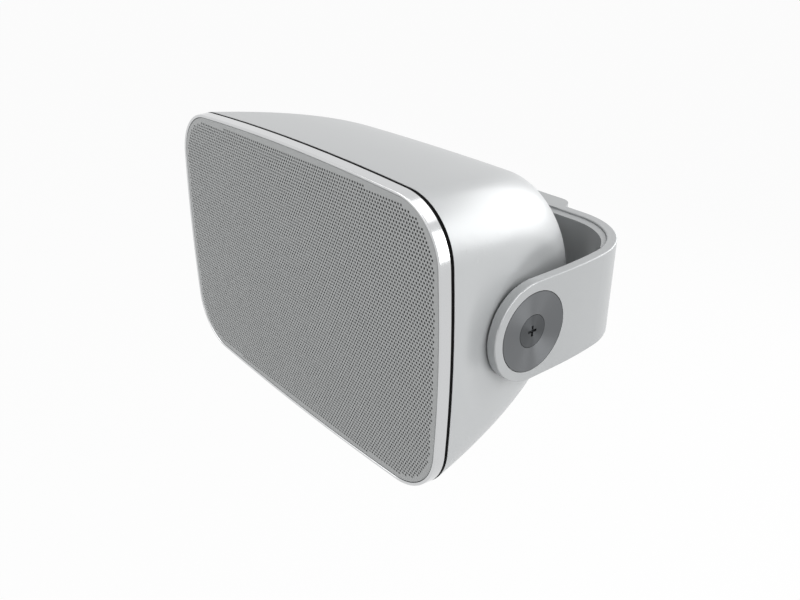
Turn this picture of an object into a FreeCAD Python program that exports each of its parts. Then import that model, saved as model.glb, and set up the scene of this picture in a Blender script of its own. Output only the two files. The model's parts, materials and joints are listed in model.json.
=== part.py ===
import FreeCAD, Part
import math
import os
import re
import Sketcher
from FreeCAD import Placement, Rotation, Vector

# Outdoor patio speaker in a U-shaped wall bracket, in millimetres.
# X runs along the wide front, +Y points at the wall, +Z is up.
# The origin is the middle of the wall pad's back face.

doc = FreeCAD.newDocument("PatioSpeaker")

# Driving dimensions: alias, size in millimetres or count, what it is
SIZES = [
    ("pivot_to_front", 70.6, "from the pivot line forward to the front plane"),
    ("pivot_to_wall", 123.0, "from the pivot line back to the wall"),
    ("pivot_rise", 3.3, "pivot line above the middle of the front"),
    # front outline, shared by trim ring, grille, baffle and cabinet
    ("front_width", 290.0, "widest part of the front"),
    ("front_height", 191.0, "highest part of the front"),
    ("front_corner", 37.3, "corner radius of the front"),
    ("side_bow", 5.7, "how far the two sides bow outward"),
    ("edge_bow", 5.0, "how far top and bottom bow outward"),
    ("trim_depth", 6.9, "trim ring, front to back"),
    ("trim_flare", 0.5, "trim ring grows by this on each side"),
    ("trim_wall", 1.9, "trim ring thickness"),
    ("trim_round", 0.7, "rounding of the trim ring's front edge"),
    ("gasket_height", 2.4, "gap between trim ring and cabinet"),
    ("gasket_inset", 1.3, "gasket's outer edge lies inside the trim ring"),
    ("fit_gap", 0.2, "clearance round pieces that drop into others"),
    ("run_gap", 0.3, "clearance between curved faces that move"),
    # cabinet: wall and five stations from mouth to rear panel
    ("cabinet_wall", 4.0, "cabinet wall"),
    ("rear_wall", 5.0, "cabinet's rear panel"),
    ("rear_round", 28.8, "rounding round the rear panel"),
    ("rear_cut", 17.8, "width that the rounding takes from each side of the rear panel"),
    ("mouth_step", 0.5, "cabinet's mouth stands out from the front by this on each side"),
    ("chest_at", 45.0, "first station behind the mouth, from the front plane"),
    ("chest_in_x", 5.1, "cabinet's side lies inside the front's side by this there"),
    ("chest_in_z", 5.0, "top and bottom lie inside the front's edge by this there"),
    ("chest_corner", 38.1, "corner radius there"),
    ("waist_at", 80.0, "second station"),
    ("waist_in_x", 11.9, "side inside the front's side there"),
    ("waist_in_z", 12.15, "top and bottom inside the front's edge there"),
    ("waist_corner", 40.6, "corner radius there"),
    ("haunch_at", 115.0, "third station"),
    ("haunch_in_x", 22.55, "side inside the front's side there"),
    ("haunch_in_z", 22.95, "top and bottom inside the front's edge there"),
    ("haunch_corner", 44.8, "corner radius there"),
    ("rear_at", 150.0, "rear panel"),
    ("rear_in_x", 37.4, "side of the rear panel, before its edge is rounded, inside the front's side"),
    ("rear_in_z", 38.25, "its top and bottom inside the front's edge"),
    ("rear_corner", 50.8, "corner radius of the rear panel"),
    ("bow_fade", 0.75, "share of the bow lost from mouth to rear"),
    # grille
    ("grille_sheet", 0.8, "grille sheet thickness"),
    ("grille_recess", 0.3, "grille behind the trim ring's front edge"),
    ("hole_pitch", 22.0, "distance between openings in a row"),
    ("hole_span", 7.6, "size of an opening, middle to corner"),
    ("cloth_sheet", 0.6, "grille cloth thickness"),
    # baffle
    ("baffle_front", 12.0, "baffle's front face behind the front plane"),
    ("baffle_sheet", 8.0, "baffle thickness"),
    ("rim_front", 4.5, "front edge of the baffle's rim"),
    ("rim_width", 5.0, "width of the baffle's rim"),
    ("plug_taper", 3.3, "how far the baffle's plug draws in towards its back"),
    ("rebate", 3.0, "depth of the rebates that seat the drivers"),
    ("screw_margin_x", 22.0, "baffle screws from the front's side"),
    ("screw_margin_z", 21.5, "baffle screws from the front's top and bottom"),
    ("baffle_screw_length", 20.0, "length of the baffle screws"),
    ("baffle_boss", 7.5, "radius of the cabinet's bosses for the baffle screws"),
    ("baffle_boss_length", 16.0, "length of those bosses behind the baffle"),
    # woofer, a five inch driver
    ("woofer_margin", 91.0, "woofer axis from the front's left side"),
    ("woofer_radius", 66.0, "woofer flange"),
    ("woofer_flange", 3.0, "woofer flange thickness"),
    ("basket_inner", 58.0, "opening inside the flange"),
    ("basket_depth", 40.0, "flange front to magnet seat"),
    ("basket_neck", 42.0, "radius of the basket's magnet seat"),
    ("seat_hole", 22.0, "hole in the basket's magnet seat"),
    ("basket_skin", 1.7, "basket metal thickness"),
    ("basket_window", 30.0, "width of a basket window"),
    ("window_front", 8.0, "front of the basket windows behind the flange"),
    ("window_length", 26.0, "length of the basket windows"),
    ("surround_roll", 3.8, "radius of the surround's half roll"),
    ("surround_skin", 0.8, "surround thickness"),
    ("cone_radius", 50.0, "outer radius of the cone"),
    ("cone_depth", 22.0, "cone rim to neck"),
    ("cone_skin", 0.9, "cone thickness"),
    ("coil_radius", 16.0, "voice coil inner radius"),
    ("coil_skin", 0.9, "voice coil former and winding thickness"),
    ("coil_length", 24.0, "voice coil, neck to end"),
    ("cap_radius", 20.0, "dust cap radius"),
    ("cap_height", 6.0, "dust cap rise"),
    ("spider_gap", 4.8, "room for the cone's travel in front of the spider"),
    ("spider_skin", 0.6, "spider thickness"),
    ("plate_sheet", 6.0, "steel top plate thickness"),
    ("magnet_radius", 45.0, "woofer magnet radius"),
    ("magnet_hole", 24.0, "woofer magnet bore radius"),
    ("magnet_sheet", 15.0, "woofer magnet thickness"),
    ("yoke_radius", 42.0, "woofer yoke and top plate radius"),
    ("coil_gap", 0.8, "air between the voice coil and the steel"),
    ("woofer_screw_ring", 63.0, "woofer screws from the axis"),
    # tweeter
    ("tweeter_margin", 69.0, "tweeter axis from the front's right side"),
    ("tweeter_radius", 36.0, "tweeter plate"),
    ("tweeter_flange", 3.0, "tweeter plate thickness"),
    ("horn_radius", 16.5, "mouth of the tweeter plate's opening"),
    ("dome_radius", 13.0, "dome radius"),
    ("dome_at", 2.4, "dome edge behind the plate's front"),
    ("dome_height", 5.0, "dome rise"),
    ("dome_skin", 0.5, "dome thickness"),
    ("tweeter_coil_length", 7.0, "dome edge to coil end"),
    ("tweeter_magnet_radius", 28.0, "tweeter magnet radius"),
    ("tweeter_magnet_hole", 16.0, "tweeter magnet bore radius"),
    ("tweeter_magnet_sheet", 10.0, "tweeter magnet thickness"),
    ("tweeter_plate_sheet", 3.5, "tweeter steel plate thickness"),
    ("tweeter_yoke_radius", 26.0, "tweeter yoke and top plate radius"),
    ("tweeter_coil_gap", 0.6, "air between the dome's former and the steel"),
    ("tweeter_screw_ring", 32.5, "tweeter screws from the axis"),
    # driver and board screws
    ("small_thread", 1.8, "thread radius of the small screws"),
    ("small_head", 2.8, "head radius of the small screws"),
    ("small_head_height", 2.0, "head height of the small screws"),
    ("small_length", 8.0, "length of the small screws"),
    ("small_socket", 1.5, "hexagon socket of the small screws, middle to corner"),
    ("small_socket_depth", 1.2, "depth of that socket"),
    # crossover
    ("board_x", -38.0, "middle of the crossover board"),
    ("board_width", 96.0, "crossover board width"),
    ("board_height", 62.0, "crossover board height"),
    ("board_sheet", 1.6, "crossover board thickness"),
    ("board_back", 137.0, "back of the board behind the front plane"),
    ("board_hole_x", 42.0, "board screws from its middle, sideways"),
    ("board_hole_z", 25.0, "board screws from its middle, up and down"),
    ("standoff_radius", 4.0, "radius of the board's standoffs"),
    ("winding_radius", 14.0, "crossover coil radius"),
    ("winding_hole", 6.0, "crossover coil bore radius"),
    ("winding_height", 12.0, "crossover coil height"),
    ("winding_x", 22.0, "crossover coils left of the board's middle"),
    ("winding_z", 15.5, "crossover coils above and below the board's middle"),
    ("capacitor_radius", 8.0, "capacitor radius"),
    ("capacitor_length", 26.0, "capacitor length"),
    ("capacitor_x", 22.0, "middle of the capacitors, right of the board's middle"),
    ("capacitor_step", 18.0, "distance between the capacitors"),
    ("resistor_width", 22.0, "resistor length"),
    ("resistor_side", 8.0, "resistor width and height"),
    ("resistor_x", 13.0, "resistor right of the board's middle"),
    ("resistor_z", 24.0, "resistor above the board's middle"),
    # terminals
    ("cup_x", 40.0, "terminal cup axis"),
    ("cup_width", 54.0, "terminal cup, outside width"),
    ("cup_height", 34.0, "terminal cup, outside height"),
    ("cup_depth", 20.0, "terminal cup depth from the rear panel"),
    ("cup_wall", 2.0, "terminal cup wall"),
    ("cup_flange", 6.0, "terminal cup flange beyond its body"),
    ("cup_flange_sheet", 2.0, "terminal cup flange thickness"),
    ("cup_corner", 5.0, "terminal cup corner radius"),
    ("cup_screw_x", 29.3, "terminal cup screws from its middle, sideways"),
    ("cup_screw_z", 19.3, "terminal cup screws from its middle, up and down"),
    ("post_spacing", 19.05, "distance between the terminal posts"),
    ("post_radius", 2.5, "terminal post thread radius"),
    ("post_base", 5.5, "terminal post collar radius"),
    ("post_collar", 3.0, "terminal post collar height"),
    ("post_length", 15.0, "terminal post above the cup floor"),
    ("post_tail", 6.0, "terminal post behind the cup floor"),
    ("nut_radius", 6.5, "terminal nut radius"),
    ("nut_length", 11.0, "terminal nut length"),
    ("nut_flute", 1.0, "radius of the flutes round a terminal nut"),
    # pivot
    ("leg_proud", 2.8, "outer face of the bracket leg beyond the front's side"),
    ("leg_sheet", 6.6, "bracket leg thickness"),
    ("disc_radius", 25.3, "pivot disc radius"),
    ("disc_sheet", 2.6, "pivot disc thickness at its rim"),
    ("disc_dish", 1.1, "how far the disc's face sinks towards its middle"),
    ("disc_groove", 0.5, "width of the dark gap round the disc"),
    ("head_radius", 10.3, "pivot screw head radius"),
    ("head_seat", 1.0, "how far the pivot screw's seat lies below the disc"),
    ("shoulder_radius", 6.0, "pivot screw shoulder radius"),
    ("pivot_thread", 5.0, "pivot screw thread radius"),
    ("thread_length", 14.0, "pivot screw thread"),
    ("shaft_gap", 0.05, "running clearance of the pivot screw's shoulder"),
    ("recess_width", 1.7, "width of a slot in the cross recess"),
    ("recess_length", 7.0, "length of a slot in the cross recess"),
    ("recess_depth", 1.4, "depth of the cross recess"),
    ("washer_radius", 17.0, "friction washer radius"),
    ("washer_bore", 6.3, "friction washer bore radius"),
    ("washer_sheet", 2.0, "friction washer thickness"),
    ("boss_radius", 19.0, "cabinet's boss under the friction washer"),
    ("insert_radius", 8.0, "threaded insert radius"),
    ("insert_length", 16.0, "threaded insert length"),
    ("insert_wall", 6.0, "boss material round and behind the insert"),
    # bracket
    ("strap_height", 64.0, "bracket height"),
    ("leg_bow", 340.0, "radius of the leg's gentle bow"),
    ("bow_start", 20.0, "where the bow begins behind the pivot"),
    ("bend_outer", 56.0, "outer bend radius"),
    ("bend_inner", 48.0, "inner bend radius"),
    ("strap_back", 112.3, "back face of the strap behind the pivot"),
    ("strap_sheet", 7.5, "strap thickness across the back"),
    ("strap_round", 0.8, "rounding of the strap's outer edges"),
    ("pad_half", 72.0, "half the width of the wall pad"),
    ("pad_corner", 11.5, "corner radius of the wall pad"),
    ("wall_hole", 2.75, "wall screw hole radius"),
    ("wall_hole_x", 40.0, "wall holes from the middle, sideways"),
    ("wall_hole_z", 18.0, "wall holes from the middle, up and down"),
    ("wall_sink", 5.6, "counterbore radius of the wall holes"),
    ("wall_sink_depth", 3.5, "counterbore depth of the wall holes"),
    ("cover_sheet", 7.2, "bracket cover, front to back"),
    ("cover_run", 54.8, "from the leg's outer face inward to the flat part of the cover's front"),
    ("cover_drop", 1.2, "bracket cover below the strap's edge"),
    ("cover_bend", 47.0, "radius of the cover's curved ends"),
    ("cover_end", 72.0, "front end of the cover behind the pivot"),
    ("cover_skin", 2.2, "bracket cover's front wall"),
    ("cover_pocket", 56.0, "half the width of the cover's hollow"),
]

sheet = doc.addObject("Spreadsheet::Sheet", "Sizes")
for row, (alias, value, note) in enumerate(SIZES, start=1):
    sheet.set(f"A{row}", alias)
    sheet.set(f"B{row}", str(value))
    sheet.set(f"C{row}", note)
    sheet.setAlias(f"B{row}", alias)
doc.recompute()

ALIASES = {alias for alias, value, note in SIZES}
NODES = []
NEARLY_ZERO = 1e-7


def bound(text):
    """Turn a sum of sizes into an expression on the sheet."""
    return re.sub(r"[a-z_]+[a-z0-9_]*", lambda m: "Sizes." + m.group(0) if m.group(0) in ALIASES else m.group(0), text)


def number(text):
    """Value that a sum of sizes has now."""
    return float(sheet.evalExpression(bound(text)))


def bind(item, field, text):
    item.setExpression(field, bound(text))


# Frames of the pieces: the speaker's own frame has its origin in the front plane
FRONT_Y = "-(pivot_to_front + pivot_to_wall)"
PIVOT_Y = "-pivot_to_wall"
WOOFER_X = "(woofer_margin - front_width / 2)"
TWEETER_X = "(front_width / 2 - tweeter_margin)"
BAFFLE_SCREW = ("(front_width / 2 - screw_margin_x)", "(front_height / 2 - screw_margin_z)")
LEG_OUT = "(front_width / 2 + leg_proud)"
FACING_REAR = Rotation(Vector(1, 0, 0), -90)
FACING_RIGHT = Rotation(Vector(0, 1, 0), 90)
FACING_LEFT = Rotation(Vector(0, 1, 0), -90)


def new_body(label, place_x="0", place_y=FRONT_Y, place_z="-pivot_rise", turn=None):
    """A body with its own label, put in place by the sheet."""
    body = doc.addObject("PartDesign::Body", label)
    body.Label = label
    body.Placement = Placement(Vector(), turn if turn else Rotation())
    for axis, text in (("x", place_x), ("y", place_y), ("z", place_z)):
        if text != "0":
            bind(body, f"Placement.Base.{axis}", text)
    NODES.append(body)
    return body


def plane_of(body, role):
    return next(item for item in body.Origin.OriginFeatures if item.Role == role)


def new_sketch(body, name, role="XY_Plane", lift=None):
    """A sketch on one of the body's origin planes, lifted along the plane's normal."""
    sketch = body.newObject("Sketcher::SketchObject", name)
    sketch.AttachmentSupport = [(plane_of(body, role), "")]
    sketch.MapMode = "FlatFace"
    if lift:
        bind(sketch, "AttachmentOffset.Base.z", lift)
    doc.recompute()
    return sketch


def datum(sketch, kind, *where, text):
    """A driving dimension of a sketch, held by the sheet."""
    index = sketch.addConstraint(Sketcher.Constraint(kind, *where, number(text)))
    sketch.setExpression(f"Constraints[{index}]", bound(text))


def pin_point(sketch, item, point, text_x, text_y):
    """Hold a point at sizes measured from the sketch's origin."""
    for text, axis, kind in ((text_x, -2, "DistanceX"), (text_y, -1, "DistanceY")):
        if abs(number(text)) < NEARLY_ZERO:
            sketch.addConstraint(Sketcher.Constraint("PointOnObject", item, point, axis))
        else:
            datum(sketch, kind, -1, 1, item, point, text=text)


def polygon(sketch, points):
    """Closed run of straight lines; each corner is a pair of sizes."""
    corners = [Vector(number(x), number(y), 0) for x, y in points]
    first = sketch.GeometryCount
    count = len(corners)
    for k in range(count):
        sketch.addGeometry(Part.LineSegment(corners[k], corners[(k + 1) % count]), False)
    for k in range(count):
        sketch.addConstraint(Sketcher.Constraint("Coincident", first + k, 2, first + (k + 1) % count, 1))
    for k, (x, y) in enumerate(points):
        pin_point(sketch, first + k, 1, x, y)


def circle(sketch, x, y, radius):
    """Circle with its middle and radius held by sizes."""
    item = sketch.addGeometry(Part.Circle(Vector(number(x), number(y), 0), Vector(0, 0, 1), number(radius)), False)
    pin_point(sketch, item, 3, x, y)
    datum(sketch, "Radius", item, text=radius)
    return item


def pad(body, sketch, name, length, both=False, back=False):
    feature = body.newObject("PartDesign::Pad", name)
    feature.Profile = sketch
    bind(feature, "Length", length)
    feature.Midplane = both
    feature.Reversed = back
    doc.recompute()
    return feature


def pocket(body, sketch, name, length=None, both=False, back=False):
    """Cut a pocket and make sure that it took material away."""
    before = body.Shape.Volume
    feature = body.newObject("PartDesign::Pocket", name)
    feature.Profile = sketch
    if length:
        bind(feature, "Length", length)
    else:
        feature.Type = "ThroughAll"
    feature.Midplane = both
    feature.Reversed = back
    doc.recompute()
    if not body.Shape.Volume < before:
        raise ValueError(f"{body.Label}: {name} cuts nothing")
    return feature


def revolve(body, sketch, name="Turned"):
    feature = body.newObject("PartDesign::Revolution", name)
    feature.Profile = sketch
    feature.ReferenceAxis = (sketch, ["V_Axis"])
    feature.Angle = 360
    doc.recompute()
    return feature


def polar(body, feature, count, name="Ring"):
    """Repeat a feature round the body's Z axis."""
    pattern = body.newObject("PartDesign::PolarPattern", name)
    pattern.Originals = [feature]
    pattern.Axis = (plane_of(body, "Z_Axis"), [""])
    pattern.Angle = 360
    pattern.Occurrences = count
    body.Tip = pattern
    doc.recompute()
    return pattern


def turned(label, points, **place):
    """A turned piece: its half section is drawn as radius and distance along the axis."""
    body = new_body(label, **place)
    sketch = new_sketch(body, label + "_section", "XZ_Plane")
    polygon(sketch, points)
    revolve(body, sketch)
    return body


def hexagon(sketch, x, y, radius):
    """Regular hexagon round a point."""
    corners = []
    for k in range(6):
        across = round(math.cos(math.radians(60 * k)), 6)
        up = round(math.sin(math.radians(60 * k)), 6)
        corners.append((f"{x} + {radius} * {across}", f"{y} + {radius} * {up}"))
    polygon(sketch, corners)


def round_pads(body, name, spots, radius, lift, length, role="XY_Plane", back=False, both=False):
    """Round pads of one radius at several spots."""
    sketch = new_sketch(body, name + "Circles", role, lift)
    for x, y in spots:
        circle(sketch, x, y, radius)
    return pad(body, sketch, name, length, both, back)


def round_cuts(body, name, spots, radius, lift, length=None, role="XY_Plane", back=False, both=False):
    """Round holes of one radius at several spots."""
    sketch = new_sketch(body, name + "Circles", role, lift)
    for x, y in spots:
        circle(sketch, x, y, radius)
    return pocket(body, sketch, name, length, both, back)


def mirrored(body, features, name):
    """Repeat features on the other side of the body's YZ plane."""
    mirror = body.newObject("PartDesign::Mirrored", name)
    mirror.Originals = features
    mirror.MirrorPlane = (plane_of(body, "YZ_Plane"), [""])
    body.Tip = mirror
    doc.recompute()
    return mirror


def corners_of(x, y, middle="0"):
    """Four spots at the corners of a rectangle."""
    return [(f"{middle} {side} {x}", f"{rise}{y}") for side in ("+", "-") for rise in ("", "-")]


def rim_edges(feature, depth):
    """Edges of a feature that lie flat at a depth along the body's Z axis."""
    level = number(depth)
    return [f"Edge{k + 1}" for k, edge in enumerate(feature.Shape.Edges)
            if abs(edge.BoundBox.ZMin - level) < 0.01 and abs(edge.BoundBox.ZMax - level) < 0.01]


# Bowed outline: four long arcs joined by four corner arcs, all tangent


def bow_radius(span, bow):
    return f"((({span}) * ({span}) / 4 + ({bow}) * ({bow})) / (2 * ({bow})))"


def outline(sketch, width, height, corner, side, edge):
    """Draw the bowed outline with its middle at the sketch's origin."""
    side_radius = bow_radius(height, side)
    edge_radius = bow_radius(width, edge)
    half_x = number(width) / 2
    half_y = number(height) / 2
    radius_x = number(side_radius)
    radius_y = number(edge_radius)
    radius = number(corner)
    # the corner's middle is at known distances from the middles of its two neighbours
    middle_x = half_x - radius_x
    middle_y = half_y - radius_y
    reach_x = radius_x - radius
    reach_y = radius_y - radius
    apart = math.hypot(middle_x, middle_y)
    along = (reach_y ** 2 - reach_x ** 2 + apart ** 2) / (2 * apart)
    off = math.sqrt(reach_y ** 2 - along ** 2)
    unit = Vector(middle_x, -middle_y, 0) / apart
    corner_at = Vector(0, middle_y, 0) + unit * along + Vector(-unit.y, unit.x, 0) * off
    if corner_at.x < 0 or corner_at.y < 0:
        corner_at = Vector(0, middle_y, 0) + unit * along - Vector(-unit.y, unit.x, 0) * off
    low = math.atan2(corner_at.y, corner_at.x - middle_x)
    high = math.atan2(corner_at.y - middle_y, corner_at.x)
    first = sketch.GeometryCount
    arcs = [
        (Vector(middle_x, 0, 0), radius_x, -low, low),
        (corner_at, radius, low, high),
        (Vector(0, middle_y, 0), radius_y, high, math.pi - high),
        (Vector(-corner_at.x, corner_at.y, 0), radius, math.pi - high, math.pi - low),
        (Vector(-middle_x, 0, 0), radius_x, math.pi - low, math.pi + low),
        (Vector(-corner_at.x, -corner_at.y, 0), radius, math.pi + low, math.pi + high),
        (Vector(0, -middle_y, 0), radius_y, math.pi + high, 2 * math.pi - high),
        (Vector(corner_at.x, -corner_at.y, 0), radius, -high, -low),
    ]
    for middle, bend, start, end in arcs:
        ring = Part.Circle(middle, Vector(0, 0, 1), bend)
        sketch.addGeometry(Part.ArcOfCircle(ring, start, end), False)
    for k in range(8):
        sketch.addConstraint(Sketcher.Constraint("Tangent", first + k, 2, first + (k + 1) % 8, 1))
    for k in (1, 3, 5, 7):
        datum(sketch, "Radius", first + k, text=corner)
    for k, sign in ((0, ""), (4, "-")):
        sketch.addConstraint(Sketcher.Constraint("PointOnObject", first + k, 3, -1))
        datum(sketch, "DistanceX", -1, 1, first + k, 3, text=f"{sign}(({width}) / 2 - {side_radius})")
        datum(sketch, "Radius", first + k, text=side_radius)
    for k, sign in ((2, ""), (6, "-")):
        sketch.addConstraint(Sketcher.Constraint("PointOnObject", first + k, 3, -2))
        datum(sketch, "DistanceY", -1, 1, first + k, 3, text=f"{sign}(({height}) / 2 - {edge_radius})")
        datum(sketch, "Radius", first + k, text=edge_radius)


def front_outline(sketch, inset):
    """The front's outline, drawn smaller by an inset on every side."""
    outline(sketch, f"front_width - 2 * ({inset})", f"front_height - 2 * ({inset})", f"front_corner - ({inset})",
            "side_bow", "edge_bow")


def profile(sketch, steps):
    """Closed run of lines and arcs. Each step is a point, and may hold the radius and the turn
    (1 or -1, seen along the run) of the arc that leaves it."""
    first = sketch.GeometryCount
    count = len(steps)
    corners = [Vector(number(step[0]), number(step[1]), 0) for step in steps]
    ends = []
    for k, step in enumerate(steps):
        start = corners[k]
        end = corners[(k + 1) % count]
        if len(step) == 2:
            sketch.addGeometry(Part.LineSegment(start, end), False)
            ends.append((1, 2))
            continue
        radius = number(step[2])
        turn = step[3]
        chord = end - start
        lift = math.sqrt(max(radius ** 2 - (chord.Length / 2) ** 2, 0))
        middle = (start + end) / 2 + Vector(-chord.y, chord.x, 0) / chord.Length * lift * turn
        first_end, last_end = (start, end) if turn > 0 else (end, start)
        low = math.atan2(first_end.y - middle.y, first_end.x - middle.x)
        high = math.atan2(last_end.y - middle.y, last_end.x - middle.x)
        if high < low:
            high += 2 * math.pi
        sketch.addGeometry(Part.ArcOfCircle(Part.Circle(middle, Vector(0, 0, 1), radius), low, high), False)
        ends.append((1, 2) if turn > 0 else (2, 1))
    for k in range(count):
        following = (k + 1) % count
        join = Sketcher.Constraint("Coincident", first + k, ends[k][1], first + following, ends[following][0])
        sketch.addConstraint(join)
    for k, step in enumerate(steps):
        pin_point(sketch, first + k, ends[k][0], step[0], step[1])
        if len(step) > 2:
            datum(sketch, "Radius", first + k, text=step[2])


def round_edges(body, base, name, edges, radius):
    """Round some edges of the feature made last."""
    feature = body.newObject("PartDesign::Fillet", name)
    feature.Base = (base, edges)
    bind(feature, "Radius", radius)
    doc.recompute()
    return feature


def loft(body, kind, name, sections):
    feature = body.newObject(f"PartDesign::{kind}", name)
    feature.Profile = sections[0]
    feature.Sections = sections[1:]
    feature.Ruled = False
    doc.recompute()
    return feature


# Cabinet: bowed shell, widest at its mouth, closing to a rounded rear panel that is level with the pivot

MOUTH_AT = "(trim_depth + gasket_height)"
# each station: name, place, how far its sides and its top lie inside the front, corner radius, shares of
# the side wall and of the rear wall
STATIONS = [
    ("mouth", MOUTH_AT, "-mouth_step", "-mouth_step", "front_corner", 1, 0),
    ("chest", "chest_at", "chest_in_x", "chest_in_z", "chest_corner", 1, 0),
    ("waist", "waist_at", "waist_in_x", "waist_in_z", "waist_corner", 1, 0),
    ("haunch", "haunch_at", "haunch_in_x", "haunch_in_z", "haunch_corner", 1, 0),
]
# the rear edge is rounded by stations set at these angles of the rounding
for turn in (20, 38, 55, 72, 90):
    out = round(math.cos(math.radians(turn)), 4)
    back = round(math.sin(math.radians(turn)), 4)
    shrink = f"(rear_cut - rear_round * {out})"
    STATIONS.append((f"rear{turn}", f"(rear_at - rear_round * (1 - {back}))", f"(rear_in_x + {shrink})",
                     f"(rear_in_z + {shrink})", f"(rear_corner - {shrink})", out, back))
BOSS_FACE = f"({LEG_OUT} - leg_sheet - washer_sheet - shaft_gap)"
BAFFLE_BACK = "(baffle_front + baffle_sheet)"


def cabinet_section(body, name, station, inside):
    """One station of the shell, or of its hollow."""
    label, at, in_x, in_z, corner, side_share, rear_share = station
    inset = f"({inside} * {side_share} * cabinet_wall)"
    sketch = new_sketch(body, f"{name}_{label}", lift=f"{at} - {inside} * {rear_share} * rear_wall")
    share = f"(({at} - {MOUTH_AT}) / (rear_at - {MOUTH_AT}))"
    bind(sketch, "AttachmentOffset.Base.y", f"-pivot_rise * {share}")
    keep = f"(1 - bow_fade * {share})"
    outline(sketch, f"(front_width - 2 * ({in_x} + {inset}))", f"(front_height - 2 * ({in_z} + {inset}))",
            f"({corner} - {inset})", f"(side_bow * {keep})", f"(edge_bow * {keep})")
    return sketch


def make_cabinet():
    body = new_body("cabinet", turn=FACING_REAR)
    loft(body, "AdditiveLoft", "Shell", [cabinet_section(body, "Outside", station, 0) for station in STATIONS])
    loft(body, "SubtractiveLoft", "Hollow", [cabinet_section(body, "Inside", station, 1) for station in STATIONS])

    spots = corners_of(*BAFFLE_SCREW)
    round_pads(body, "BaffleBosses", spots, "baffle_boss", BAFFLE_BACK, "baffle_boss_length")
    round_cuts(body, "BaffleBores", spots, "small_thread + shaft_gap", BAFFLE_BACK,
               "baffle_screw_length - baffle_sheet + fit_gap", back=True)

    pivot = [("-pivot_rise", "pivot_to_front")]
    boss = round_pads(body, "PivotBoss", pivot, "boss_radius", BOSS_FACE, "insert_length + insert_wall",
                      "YZ_Plane", back=True)
    mirrored(body, [boss], "PivotBossLeft")
    bore = round_cuts(body, "InsertBore", pivot, "insert_radius + shaft_gap", BOSS_FACE,
                      "insert_length + fit_gap", "YZ_Plane")
    mirrored(body, [bore], "InsertBoreLeft")

    spots = corners_of("board_hole_x", "board_hole_z", "board_x")
    round_pads(body, "Standoffs", spots, "standoff_radius", "board_back", "rear_at - rear_wall / 2 - board_back")
    round_cuts(body, "BoardBores", spots, "small_thread + shaft_gap", "board_back",
               "small_length - board_sheet + fit_gap", back=True)

    cut_sketch = new_sketch(body, "CupOpening", lift="rear_at")
    rounded_box(cut_sketch, "cup_x", "cup_width + 2 * fit_gap", "cup_height + 2 * fit_gap", "cup_corner + fit_gap")
    pocket(body, cut_sketch, "CupCut", "3 * rear_wall")
    round_cuts(body, "CupBores", corners_of("cup_screw_x", "cup_screw_z", "cup_x"), "small_thread + shaft_gap",
               "rear_at", "small_length - cup_flange_sheet")


def rounded_box(sketch, middle_x, width, height, corner):
    """Rectangle with rounded corners round a point on the sketch's X axis."""
    left = f"{middle_x} - ({width}) / 2"
    right = f"{middle_x} + ({width}) / 2"
    low = f"-({height}) / 2"
    high = f"({height}) / 2"
    profile(sketch, [
        (f"{left} + ({corner})", low),
        (f"{right} - ({corner})", low, corner, 1),
        (right, f"{low} + ({corner})"),
        (right, f"{high} - ({corner})", corner, 1),
        (f"{right} - ({corner})", high),
        (f"{left} + ({corner})", high, corner, 1),
        (left, f"{high} - ({corner})"),
        (left, f"{low} + ({corner})", corner, 1),
    ])


# Front: trim ring, gasket, grille, cloth and baffle

GRILLE_EDGE = "(trim_wall + fit_gap)"
PLUG_INSET = "(cabinet_wall + fit_gap - mouth_step)"
GRILLE_BACK = "(grille_recess + grille_sheet)"


def front_pad(body, name, inset, start, end, hollow=None):
    """Plate or ring with the front's outline, from one depth to another."""
    sketch = new_sketch(body, name + "Outline", lift=start)
    front_outline(sketch, inset)
    if hollow:
        front_outline(sketch, hollow)
    return pad(body, sketch, name, f"{end} - ({start})")


def make_trim_ring():
    body = new_body("trim_ring", turn=FACING_REAR)
    front = new_sketch(body, "FrontOutline")
    front_outline(front, "0")
    rear = new_sketch(body, "RearOutline", lift="trim_depth")
    front_outline(rear, "-trim_flare")
    loft(body, "AdditiveLoft", "Ring", [front, rear])
    opening = new_sketch(body, "OpeningOutline")
    front_outline(opening, "trim_wall")
    ring = pocket(body, opening, "Opening", back=True)
    round_edges(body, ring, "FrontRounding", rim_edges(ring, "0"), "trim_round")


def make_grille():
    """Folded steel sheet with staggered rows of openings."""
    body = new_body("grille", turn=FACING_REAR)
    front_pad(body, "Face", GRILLE_EDGE, "grille_recess", GRILLE_BACK)
    front_pad(body, "Skirt", GRILLE_EDGE, GRILLE_BACK, "rim_front", hollow=f"{GRILLE_EDGE} + grille_sheet")
    row_step = f"(2 * hole_pitch * {round(math.sin(math.radians(60)), 6)})"
    for name, columns, rows in (("Even", 11, 5), ("Odd", 12, 4)):
        sketch = new_sketch(body, name + "Opening")
        hexagon(sketch, f"-hole_pitch * {(columns - 1) / 2}", f"-{row_step} * {(rows - 1) / 2}", "hole_span")
        hole = pocket(body, sketch, name + "Hole", "2 * grille_sheet", back=True)
        grid = body.newObject("PartDesign::MultiTransform", name + "Grid")
        grid.Originals = [hole]
        body.Tip = grid
        runs = []
        for axis, step, count in (("H_Axis", "hole_pitch", columns), ("V_Axis", row_step, rows)):
            run = doc.addObject("PartDesign::LinearPattern", f"{name}_{axis}")
            body.addObject(run)
            run.Direction = (sketch, [axis])
            bind(run, "Length", f"{step} * {count - 1}")
            run.Occurrences = count
            runs.append(run)
        grid.Transformations = runs
        body.Tip = grid
        doc.recompute()


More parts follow.
